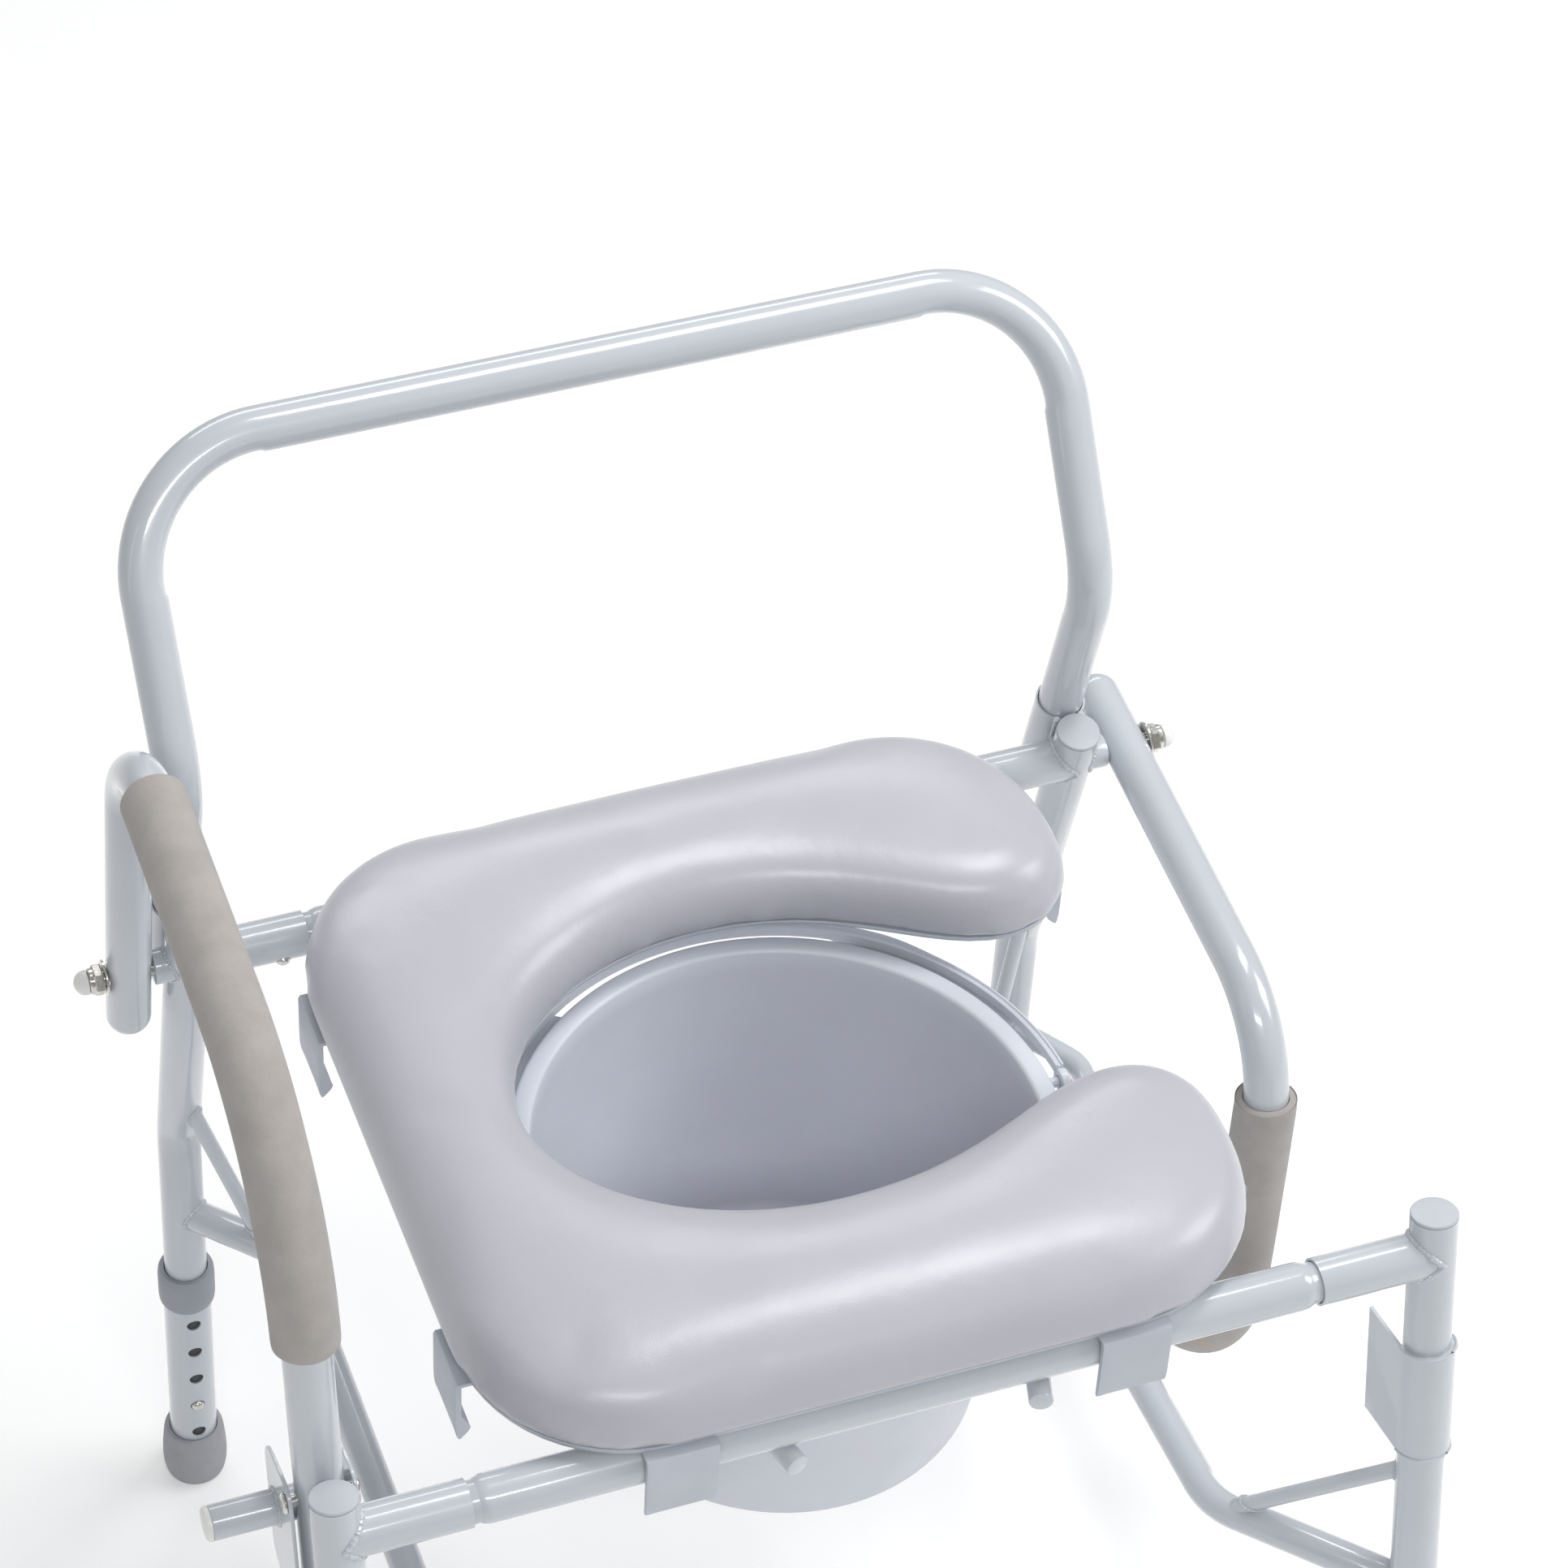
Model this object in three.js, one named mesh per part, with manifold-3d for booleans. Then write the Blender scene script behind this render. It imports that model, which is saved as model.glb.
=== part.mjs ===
// Drop-arm bedside commode chair: a knock-down frame of welded steel tube with a snap-on padded seat,
// a pail on two rods, a backrest in sockets, two swing-down arms and four telescopic legs.
// Millimetres, +Z up, +X to the sitter's left, -Y is the front. The frame is laid out from the axis of
// the front crossbar (x = 0, y = 0, z = 0) and the finished group stands on z = 0.
import * as THREE from "three";
import { mergeVertices } from "three/addons/utils/BufferGeometryUtils.js";
import Module from "manifold-3d";

// ---- Driving dimensions ----
const GAP = 0.3; // clearance between pieces that touch
const TUBE_R = 12.7; // main frame tube, 1 inch
const TUBE_BORE = 11.2;
const SIDES = 12; // facets round a main tube
const BORE_SIDES = 8;
const FLOOR = -497; // floor, below the crossbar axis
const FRONT_X = 296; // front post, from the middle of the chair
const REAR_X = 263;
const DEPTH = 400; // front to rear crossbar axis
const FRONT_LEAN = 0.179; // dy/dz of the front post: its foot stands forward
const REAR_LEAN = -0.241; // dy/dz of the upper rear post
const REAR_BEND_Z = -185;
const REAR_FOOT_Y = 450;
const CAP_Z = 24; // top of the post tubes
const POST_END = 55; // lower end of a post, along its leg from the floor

// Radius of a faceted bore that clears a round piece of radius r.
const around = (r) => (r + GAP) / Math.cos(Math.PI / SIDES);

const STUB_LENGTH = 67; // crossbar socket, from the post axis
const NECK_R = 11; // swaged crossbar end
const NECK_BORE = 9.6;
const NECK_LENGTH = 30;
const NECK_SHOWN = 4; // bare neck between stub and shoulder

const SOCKET_R = 14.3; // backrest socket
const SOCKET_LOW = -26;
const SOCKET_HIGH = 27;

const BRACE_R = 9.5;
const BRACE_BORE = 8.2;
const BRACE_X = 215;
const STRUT_R = 4.6;
const ROD_R = 6.35;

const BRACKET = { low: -128, high: -60, reach: 36, sheet: 2, inside: 13.3 };

const ARM = {
  tail: [7, -38],
  rearCorner: [-37, 213.5],
  frontCorner: [-333.5, 198],
  legBehindPost: 30,
  legEnd: -118,
  rearRadius: 66,
  frontRadius: 130,
};
const ARM_DROP = THREE.MathUtils.degToRad(87.3);
const GRIP_R = 17.4;
const GRIP_WRAP = THREE.MathUtils.degToRad(8); // how far the grip reaches round the rear bend
const GRIP_LEG = 92; // height where the grip ends on the front leg

const BOSS_R = 10;
const BOLT_R = 5;
const LEG = { sleeveR: 14.3, sleeveLow: 16, sleeveHigh: 182 };
const COLLAR = { r: 17, low: 162, high: 190 };
const TIP = { rimR: 17.8, bulgeR: 19.7, baseR: 18.3, height: 40, floor: 12 };
const HOLE_PITCH = 25.4;
const BUTTON_HEIGHT = 73; // snap button above the floor, along the leg
const HOLES_ABOVE = 3;
const HOLES_BELOW = 1;
const BUTTON_R = 3.8;

const SEAT = { half: 213, corner: 88, opening: 103, gap: 61, lobe: 45, base: 14, sheet: 3, top: 58 };
const CLIP = { offset: 122, width: 38, reach: 13.3, sheet: 3, low: -27 };
const PAIL = { x: 6, y: 176, top: 0, rimR: 149, mouthR: 139, baseR: 111, bottom: -180, wall: 2.4 };
const LUG = { r: 164, low: -12.3, high: -8.5, angle: 37, half: 18 };
const BAIL_R = 158;

// ---- Finishes ----
const finish = (color, roughness, metalness) =>
  new THREE.MeshStandardMaterial({ color, roughness, metalness });
const POWDER = finish(0xbcc5cc, 0.3, 0.1);
const NICKEL = finish(0xb9b6ae, 0.25, 0.9);
const FOAM = finish(0xa39f96, 0.95, 0);
const VINYL = finish(0xcfcfd6, 0.5, 0);
const PLASTIC = finish(0xaab3bb, 0.4, 0);
const COLLAR_PLASTIC = finish(0x8d949a, 0.5, 0);
const RUBBER = finish(0x94949a, 0.8, 0);
const WHITE = finish(0xeceae4, 0.45, 0);

// ---- Solids ----
const wasm = await Module();
wasm.setup();
const v3 = (x, y, z) => new THREE.Vector3(x, y, z);

function solid(geometry) {
  const bare = geometry.clone();
  bare.deleteAttribute("normal");
  bare.deleteAttribute("uv");
  const merged = mergeVertices(bare, 1e-4);
  return new wasm.Manifold(
    new wasm.Mesh({
      numProp: 3,
      vertProperties: merged.attributes.position.array,
      triVerts: new Uint32Array(merged.index.array),
    }),
  );
}

const join = (...geometries) => geometries.map(solid).reduce((a, b) => a.add(b));
const cut = (body, ...tools) => tools.map(solid).reduce((a, b) => a.subtract(b), body);

function toGeometry(body) {
  const mesh = body.getMesh();
  const geometry = new THREE.BufferGeometry();
  geometry.setAttribute("position", new THREE.BufferAttribute(mesh.vertProperties, 3));
  geometry.setIndex(new THREE.BufferAttribute(mesh.triVerts, 1));
  geometry.computeVertexNormals();
  return geometry;
}

// A bent tube's centreline: straight runs joined by arcs, sampled only where the tube turns.
class BentPath extends THREE.Curve {
  constructor(corners, radii = []) {
    super();
    this.stations = [];
    this.tangents = [];
    corners.forEach((corner, i) => {
      const before = corners[i - 1];
      const after = corners[i + 1];
      if (!before || !after) {
        const along = before ? corner.clone().sub(before) : after.clone().sub(corner);
        this.add(corner.clone(), along.normalize());
      } else {
        this.addArc(corner, before, after, radii[i - 1]);
      }
    });
  }

  add(point, tangent) {
    this.stations.push(point);
    this.tangents.push(tangent);
  }

  addArc(corner, before, after, radius) {
    const inward = corner.clone().sub(before).normalize();
    const outward = after.clone().sub(corner).normalize();
    const turn = inward.angleTo(outward);
    const setback = radius * Math.tan(turn / 2);
    const start = corner.clone().addScaledVector(inward, -setback);
    const side = outward.clone().addScaledVector(inward, -outward.dot(inward)).normalize();
    const steps = Math.max(2, Math.ceil(turn / THREE.MathUtils.degToRad(19)));
    for (let i = 0; i <= steps; i++) {
      const a = (turn * i) / steps;
      const point = start
        .clone()
        .addScaledVector(inward, radius * Math.sin(a))
        .addScaledVector(side, radius * (1 - Math.cos(a)));
      const tangent = inward.clone().multiplyScalar(Math.cos(a)).addScaledVector(side, Math.sin(a));
      this.add(point, tangent);
    }
  }

  get steps() {
    return this.stations.length - 1;
  }

  getSpacedPoints() {
    return this.stations;
  }

  getTangentAt(u, target = new THREE.Vector3()) {
    return target.copy(this.tangents[Math.round(u * this.steps)]);
  }
}

function circle(radius, sides) {
  const shape = new THREE.Shape();
  for (let i = 0; i < sides; i++) {
    const a = (2 * Math.PI * (i + 0.5)) / sides;
    const point = [radius * Math.cos(a), radius * Math.sin(a)];
    if (i) shape.lineTo(...point);
    else shape.moveTo(...point);
  }
  return shape;
}

function sweep(path, radius, sides = SIDES) {
  const shape = circle(radius, sides);
  return new THREE.ExtrudeGeometry(shape, { extrudePath: path, steps: path.steps });
}

const straight = (a, b, radius, sides = SIDES) => sweep(new BentPath([a, b]), radius, sides);

// A turned piece: [radius, height] pairs that start and end on the axis or close on themselves.
function turned(profile, sides = SIDES) {
  const points = profile.map(([r, z]) => new THREE.Vector2(r, z));
  return new THREE.LatheGeometry(points, sides).rotateX(Math.PI / 2);
}

const ring = (outer, inner, low, high, sides = SIDES) =>
  turned(
    [
      [outer, low],
      [outer, high],
      [inner, high],
      [inner, low],
      [outer, low],
    ],
    sides,
  );

function extruded(points, depth) {
  const shape = new THREE.Shape(points.map(([x, y]) => new THREE.Vector2(x, y)));
  return new THREE.ExtrudeGeometry(shape, { depth, bevelEnabled: false });
}

// ---- Frame layout, for the side at +X ----
const frontAt = (z) => v3(FRONT_X, FRONT_LEAN * z, z);
const rearAt = (z) => v3(REAR_X, DEPTH + REAR_LEAN * z, z);
const frontFoot = frontAt(FLOOR);
const frontAxis = frontAt(0).sub(frontFoot).normalize();
const rearBend = rearAt(REAR_BEND_Z);
const rearFoot = v3(REAR_X, REAR_FOOT_Y, FLOOR);
const rearAxis = rearBend.clone().sub(rearFoot).normalize();
const rearUpper = rearAt(1).sub(rearAt(0)).normalize();
const onLeg = (foot, axis, height) => foot.clone().addScaledVector(axis, height);
const frontEnd = onLeg(frontFoot, frontAxis, POST_END);
const rearEnd = onLeg(rearFoot, rearAxis, POST_END);
const socketAt = (z) => rearAt(z).add(v3(0, (TUBE_R + SOCKET_R - 0.5) / rearUpper.z, 0));
const pivot = v3(FRONT_X, DEPTH, 0);

// Turns a piece built along +Z to stand on an axis at a point.
const uprightTo = (axis) => new THREE.Quaternion().setFromUnitVectors(v3(0, 0, 1), axis);
const stand = (geometry, at, axis) => geometry.applyQuaternion(uprightTo(axis)).translate(at.x, at.y, at.z);
const forwardOf = (axis) => v3(0, -1, 0).applyQuaternion(uprightTo(axis));

// Way the snap buttons of a crossbar point: down, and inwards to the other crossbar.
const buttonWay = (y) => v3(0, y ? -0.8 : 0.8, -0.6);

function crossbarStub(at) {
  const inner = v3(at.x - STUB_LENGTH, at.y, at.z);
  return {
    outside: straight(at, inner, TUBE_R),
    bore: straight(v3(at.x - TUBE_R, at.y, at.z), v3(inner.x - 1, at.y, at.z), around(NECK_R)),
    button: buttonHole(v3(inner.x + NECK_LENGTH / 2, at.y, at.z), buttonWay(at.y)),
  };
}

function buttonHole(at, out, radius = BUTTON_R + 0.5) {
  return straight(at, at.clone().addScaledVector(out, 3 * TUBE_R), radius, 10);
}

function buildFrontPost() {
  const post = straight(frontAt(CAP_Z), frontEnd, TUBE_R);
  const bore = straight(frontAt(CAP_Z + 1), onLeg(frontFoot, frontAxis, POST_END - 1), TUBE_BORE, BORE_SIDES);
  const stub = crossbarStub(frontAt(0));
  const hole = buttonHole(onLeg(frontFoot, frontAxis, BUTTON_HEIGHT), forwardOf(frontAxis));
  return toGeometry(cut(join(post, stub.outside, buildBracket()), bore, stub.bore, stub.button, hole));
}

// Sheet bracket round the front of the post, whose cheeks guide the arm's front leg.
function buildBracket() {
  const outside = BRACKET.inside + BRACKET.sheet;
  const hug = TUBE_R - 0.2;
  const shape = new THREE.Shape();
  shape.moveTo(outside, BRACKET.reach).lineTo(outside, 0);
  shape.absarc(0, 0, outside, 0, -Math.PI, true);
  shape.lineTo(-outside, BRACKET.reach).lineTo(-BRACKET.inside, BRACKET.reach);
  shape.lineTo(-BRACKET.inside, 3).lineTo(-hug, 0);
  shape.absarc(0, 0, hug, -Math.PI, 0, false);
  shape.lineTo(BRACKET.inside, 3).lineTo(BRACKET.inside, BRACKET.reach);
  const length = (BRACKET.high - BRACKET.low) / frontAxis.z;
  const sheet = new THREE.ExtrudeGeometry(shape, { depth: length, bevelEnabled: false, curveSegments: 8 });
  return stand(sheet, frontAt(BRACKET.low), frontAxis);
}

function buildRearPost() {
  const path = (top, end) => new BentPath([rearAt(top), rearBend, end], [90]);
  const post = sweep(path(CAP_Z, rearEnd), TUBE_R);
  const bore = sweep(path(CAP_Z + 1, onLeg(rearFoot, rearAxis, POST_END - 1)), TUBE_BORE, BORE_SIDES);
  const stub = crossbarStub(rearAt(0));
  const socket = straight(socketAt(SOCKET_LOW), socketAt(SOCKET_HIGH), SOCKET_R);
  const socketBore = straight(socketAt(SOCKET_LOW - 1), socketAt(SOCKET_HIGH + 1), around(TUBE_R));
  const boss = straight(rearAt(0), v3(pivot.x - TUBE_R - 0.5, pivot.y, pivot.z), BOSS_R);
  const boltBore = straight(v3(REAR_X + 6, pivot.y, 0), v3(pivot.x, pivot.y, 0), BOLT_R + GAP, 12);
  const hole = buttonHole(onLeg(rearFoot, rearAxis, BUTTON_HEIGHT), forwardOf(rearAxis));
  const backHole = buttonHole(socketAt(0), v3(0, 1, 0));
  const bores = [bore, socketBore, stub.bore, stub.button, boltBore, hole, backHole];
  return toGeometry(cut(join(post, stub.outside, socket, boss), ...bores));
}

// Lower side brace: a bent tube from post to post with two struts welded to its corners.
function buildSideBrace() {
  const front = frontAt(-230);
  const frontCorner = v3(BRACE_X + 3, 48, -236);
  const rearCorner = v3(BRACE_X, 385, -247);
  const rear = onLeg(rearFoot, rearAxis, -FLOOR - 257);
  const corners = [front, frontCorner, rearCorner, rear];
  const tube = sweep(new BentPath(corners, [42, 42]), BRACE_R, 12);
  const bore = sweep(new BentPath(corners, [42, 42]), BRACE_BORE, BORE_SIDES);
  const frontStrut = straight(frontAt(-143), v3(BRACE_X + 10, 38, -231), STRUT_R, 8);
  const rearStrut = straight(rearAt(-140), v3(BRACE_X + 13, 400, -243), STRUT_R, 8);
  const clear = around(TUBE_R);
  const frontPost = straight(frontAt(CAP_Z), frontEnd, clear);
  const rearPost = sweep(new BentPath([rearAt(CAP_Z), rearBend, rearEnd], [90]), clear);
  return toGeometry(cut(join(tube, frontStrut, rearStrut), bore, frontPost, rearPost));
}

function buildCap() {
  const plug = TUBE_BORE * Math.cos(Math.PI / BORE_SIDES) - GAP;
  return turned([
    [0, -9],
    [plug, -9],
    [plug, GAP],
    [TUBE_R, GAP],
    [TUBE_R, 1.2],
    [TUBE_R - 1, 2],
    [0, 2],
  ]);
}

// ---- Crossbars, pail rods and backrest ----
function buildCrossbar(halfSpan, y) {
  const shoulder = halfSpan - STUB_LENGTH - NECK_SHOWN;
  const end = shoulder + NECK_LENGTH;
  const along = (x) => v3(x, 0, 0);
  const body = join(
    turned([
      [0, -end],
      [NECK_R, -end],
      [NECK_R, -shoulder],
      [TUBE_R, -shoulder + 3],
      [TUBE_R, shoulder - 3],
      [NECK_R, shoulder],
      [NECK_R, end],
      [0, end],
    ]).rotateY(Math.PI / 2),
  );
  const bore = straight(along(-end - 1), along(end + 1), NECK_BORE, BORE_SIDES);
  const holes = [-1, 1].map((s) =>
    buttonHole(along(s * (halfSpan - STUB_LENGTH + NECK_LENGTH / 2)), buttonWay(y)),
  );
  return toGeometry(cut(body, bore, ...holes));
}

// Half of the pail's carrier, from the middle of the pail: a rod kinked out round it, crossbar to crossbar.
function buildPailRod() {
  const z = -TUBE_R - ROD_R - GAP;
  const corners = [v3(66, -15, z), v3(71, 2, z), v3(179, 189, z), v3(40, 398, z), v3(36, 412, z)];
  return sweep(new BentPath(corners, [20, 22, 20]), ROD_R, 10);
}

function buildBackrest() {
  const low = socketAt(SOCKET_LOW + 3);
  const bend = v3(REAR_X, socketAt(136).y, 136);
  const top = v3(REAR_X + 1, 494, 286);
  const mirror = (p) => v3(-p.x, p.y, p.z);
  const corners = [low, bend, top, mirror(top), mirror(bend), mirror(low)];
  const radii = [60, 75, 75, 60];
  const tube = sweep(new BentPath(corners, radii), TUBE_R);
  const bore = sweep(new BentPath(corners, radii), TUBE_BORE, BORE_SIDES);
  const holes = [socketAt(0), mirror(socketAt(0))].map((p) => buttonHole(p, v3(0, 1, 0)));
  return toGeometry(cut(solid(tube), bore, ...holes));
}

// ---- Arms, measured from the pivot in the raised position ----
const armPoint = ([y, z]) => v3(0, y, z);
const legPoint = (z) => [-DEPTH + FRONT_LEAN * z + ARM.legBehindPost / frontAxis.z, z];
const armCorners = [ARM.tail, ARM.rearCorner, ARM.frontCorner, legPoint(ARM.legEnd)].map(armPoint);
const armRadii = [ARM.rearRadius, ARM.frontRadius];

// Latch lever: two cheeks astride the arm's front leg, hung on a rivet, with a tube handle behind.
const LATCH = { rivet: 22, handle: 23.4, rear: 38, front: -9, top: 34, low: -48, innerLow: -18, sheet: 2 };
const CHEEK_X = BRACKET.inside + BRACKET.sheet + 2 * GAP; // the cheeks close outside the bracket's
const HANDLE_R = 9.2;
const HANDLE_OUT = 52;
const HANDLE_IN = -24;
const RIVET_R = 3;
const latchOrigin = armPoint(legPoint(-25));
const rivetPoint = latchOrigin.clone().addScaledVector(frontAxis, LATCH.rivet);

function buildArm() {
  const tail = armPoint(ARM.tail);
  const dome = new THREE.SphereGeometry(TUBE_R, SIDES, 8).translate(tail.x, tail.y, tail.z);
  const tube = sweep(new BentPath(armCorners, armRadii), TUBE_R);
  const openEnd = armPoint(legPoint(ARM.legEnd - 1));
  const boreCorners = [...armCorners.slice(0, 3), openEnd];
  const bore = sweep(new BentPath(boreCorners, armRadii), TUBE_BORE, BORE_SIDES);
  const boltHole = straight(v3(-20, 0, 0), v3(20, 0, 0), BOLT_R + GAP, 12);
  const across = v3(20, 0, 0);
  const rivetHole = straight(rivetPoint.clone().sub(across), rivetPoint.clone().add(across), RIVET_R + GAP, 10);
  return toGeometry(cut(join(tube, dome), bore, boltHole, rivetHole));
}

// Foam sleeve from the rear bend to the front leg.
function buildGrip() {
  const rise = armCorners[1].clone().sub(armCorners[0]).normalize();
  const top = armCorners[2].clone().sub(armCorners[1]).normalize();
  const setback = ARM.rearRadius * Math.tan(rise.angleTo(top) / 2);
  const wrap = ARM.rearRadius * Math.tan(GRIP_WRAP / 2);
  const corner = armCorners[1].clone().addScaledVector(top, setback - wrap);
  const back = top.clone().applyAxisAngle(v3(1, 0, 0), -GRIP_WRAP);
  const start = corner.clone().addScaledVector(back, -wrap - 0.5);
  const end = armPoint(legPoint(GRIP_LEG));
  const past = (p, q) => p.clone().addScaledVector(p.clone().sub(q).normalize(), 1);
  const foam = sweep(new BentPath([start, corner, armCorners[2], end], armRadii), GRIP_R);
  const boreCorners = [past(start, corner), corner, armCorners[2], past(end, armCorners[2])];
  const bore = sweep(new BentPath(boreCorners, armRadii), around(TUBE_R + 2 * GAP));
  return toGeometry(cut(solid(foam), bore));
}

// The lever's own frame: origin on the leg axis level with the handle, +Y behind, +Z up the leg.
function latchFrame(geometry) {
  return stand(geometry, latchOrigin, frontAxis);
}

function buildLatch() {
  const outline = (low) => [
    [LATCH.front, low],
    [LATCH.rear - 8, low],
    [LATCH.rear, low + 8],
    [LATCH.rear, LATCH.top - 14],
    [LATCH.rear - 14, LATCH.top],
    [LATCH.front + 5, LATCH.top],
    [LATCH.front, LATCH.top - 5],
  ];
  const cheek = (x, low) =>
    extruded(outline(low), LATCH.sheet).applyMatrix4(
      new THREE.Matrix4().makeBasis(v3(0, 1, 0), v3(0, 0, 1), v3(1, 0, 0)).setPosition(x, 0, 0),
    );
  const handle = straight(v3(HANDLE_IN, LATCH.handle, 0), v3(HANDLE_OUT, LATCH.handle, 0), HANDLE_R, 14);
  const handleBore = straight(v3(10, LATCH.handle, 0), v3(HANDLE_OUT + 1, LATCH.handle, 0), HANDLE_R - 1.5, 14);
  const rivetHole = straight(v3(-25, 0, LATCH.rivet), v3(25, 0, LATCH.rivet), RIVET_R + GAP, 10);
  const cheeks = [cheek(CHEEK_X, LATCH.low), cheek(-CHEEK_X - LATCH.sheet, LATCH.innerLow)];
  return latchFrame(toGeometry(cut(join(handle, ...cheeks), handleBore, rivetHole)));
}

function buildRivet() {
  const half = CHEEK_X + LATCH.sheet + GAP;
  const profile = [
    [0, -half - 2],
    [RIVET_R + 1, -half - 2],
    [RIVET_R + 2.5, -half],
    [RIVET_R, -half],
    [RIVET_R, half],
    [RIVET_R + 2.5, half],
    [RIVET_R + 1, half + 2],
    [0, half + 2],
  ];
  return latchFrame(turned(profile, 10).rotateY(Math.PI / 2).translate(0, 0, LATCH.rivet));
}

function buildHandlePlug() {
  const plug = HANDLE_R - 1.5 - GAP;
  const profile = [
    [0, -8],
    [plug, -8],
    [plug, GAP],
    [HANDLE_R, GAP],
    [HANDLE_R - 0.6, 3],
    [0, 3.6],
  ];
  return latchFrame(turned(profile, 14).rotateY(Math.PI / 2).translate(HANDLE_OUT, LATCH.handle, 0));
}

// ---- Pivot hardware, along +X from the pivot ----
const WASHER = { low: TUBE_R + GAP, thick: 1.4, r: 10.5 };
const NUT = { r: 9, thick: 8 };
const nutLow = WASHER.low + WASHER.thick + GAP;
const boltEnd = nutLow + NUT.thick - 0.6;

const alongX = (geometry, x) => geometry.rotateY(Math.PI / 2).translate(x, 0, 0);

function buildBolt() {
  const start = REAR_X + 7 - FRONT_X;
  return straight(v3(start, 0, 0), v3(boltEnd, 0, 0), BOLT_R, 12);
}
const buildWasher = () => alongX(ring(WASHER.r, BOLT_R + GAP, 0, WASHER.thick), WASHER.low);

function buildNut() {
  const hexagon = straight(v3(nutLow, 0, 0), v3(nutLow + NUT.thick, 0, 0), NUT.r, 6);
  const bore = straight(v3(nutLow - 1, 0, 0), v3(nutLow + NUT.thick + 1, 0, 0), BOLT_R + GAP, 12);
  return toGeometry(cut(solid(hexagon), bore));
}

function buildNutCap() {
  const r = NUT.r - 2;
  const dome = [0.5, 0.8, 0.95].map((s) => [r * Math.sqrt(1 - s * s), 1 + r * s]);
  return alongX(turned([[0, 0], [r, 0], [r, 1], ...dome, [0, 1 + r]], 12), nutLow + NUT.thick + GAP);
}

// ---- Legs, along +Z from the floor ----
function buildSleeve() {
  const holes = [];
  for (let i = -HOLES_BELOW; i <= HOLES_ABOVE; i++) {
    holes.push(buttonHole(v3(0, 0, BUTTON_HEIGHT + i * HOLE_PITCH), v3(0, -1, 0)));
  }
  return toGeometry(cut(solid(ring(LEG.sleeveR, around(TUBE_R), LEG.sleeveLow, LEG.sleeveHigh)), ...holes));
}

function buildCollar() {
  const inner = around(LEG.sleeveR);
  const postBore = around(TUBE_R);
  const ledge = LEG.sleeveHigh + GAP;
  return turned([
    [inner, COLLAR.low],
    [COLLAR.r - 0.8, COLLAR.low],
    [COLLAR.r, COLLAR.low + 2],
    [COLLAR.r, COLLAR.high - 3],
    [COLLAR.r - 2, COLLAR.high],
    [postBore, COLLAR.high],
    [postBore, ledge],
    [inner, ledge],
    [inner, COLLAR.low],
  ]);
}

// Rubber tip, trimmed flat to the floor under a leaning leg.
function buildTip(foot, axis) {
  const tip = turned([
    [0, -6],
    [TIP.baseR, -6],
    [TIP.baseR, 1],
    [TIP.bulgeR, 8],
    [TIP.bulgeR, 22],
    [TIP.rimR, TIP.height],
    [around(LEG.sleeveR), TIP.height],
    [around(LEG.sleeveR), TIP.floor],
    [0, TIP.floor],
  ]);
  const below = new THREE.BoxGeometry(80, 80, 40).translate(foot.x, foot.y, foot.z - 20);
  return toGeometry(cut(solid(stand(tip, foot, axis)), below));
}

// Domed snap button pointing along -Y, seated in a tube of the given outer radius.
function buildButton(tubeR) {
  const tip = tubeR + 2.6;
  const profile = [
    [0, tubeR - 6],
    [BUTTON_R, tubeR - 6],
    [BUTTON_R, tip - 1.6],
    [BUTTON_R * 0.6, tip - 0.4],
    [0, tip],
  ];
  return turned(profile, 10).rotateX(Math.PI / 2);
}

// ---- Seat and pail ----
// Horseshoe outline round the seat centre, open towards +X, drawn in by a margin.
function seatShape(margin) {
  const half = SEAT.half - margin;
  const corner = SEAT.corner - margin;
  const lobe = SEAT.lobe - margin;
  const g = SEAT.gap + margin;
  const b = SEAT.opening + margin;
  const mid = 5;
  const shape = new THREE.Shape();
  shape.moveTo(half, g + lobe);
  shape.lineTo(half, half - corner);
  shape.absarc(half - corner, half - corner, corner, 0, Math.PI / 2);
  shape.lineTo(corner - half, half);
  shape.absarc(corner - half, half - corner, corner, Math.PI / 2, Math.PI);
  shape.lineTo(-half, corner - half);
  shape.absarc(corner - half, corner - half, corner, Math.PI, 1.5 * Math.PI);
  shape.lineTo(half - corner, -half);
  shape.absarc(half - corner, corner - half, corner, 1.5 * Math.PI, 2 * Math.PI);
  shape.lineTo(half, -g - lobe);
  shape.absarc(half - lobe, -g - lobe, lobe, 0, Math.PI / 2);
  shape.bezierCurveTo(120, -g, 90, -b, mid, -b);
  shape.absellipse(mid, 0, 140 + margin, b, 1.5 * Math.PI, Math.PI / 2, true);
  shape.bezierCurveTo(90, b, 120, g, half - lobe, g);
  shape.absarc(half - lobe, g + lobe, lobe, 1.5 * Math.PI, 2 * Math.PI);
  return shape;
}

// Clip plate that hangs outside a crossbar, for the front side of the seat. The plates of the two sides
// without a crossbar end in a snap hook.
function buildClip(x, hooked) {
  const outside = -DEPTH / 2 - CLIP.reach - CLIP.sheet;
  const inside = outside + CLIP.sheet;
  const hook = [
    [inside + 5, -19],
    [inside + 2.2, -13],
    [inside, -9],
  ];
  const profile = [
    [inside, SEAT.base + 0.5],
    [outside, SEAT.base + 0.5],
    [outside, CLIP.low],
    [inside, CLIP.low],
    ...(hooked ? hook : []),
  ];
  const place = new THREE.Matrix4().makeBasis(v3(0, 1, 0), v3(0, 0, 1), v3(1, 0, 0));
  return extruded(profile, CLIP.width).applyMatrix4(place.setPosition(x - CLIP.width / 2, 0, 0));
}

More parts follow.
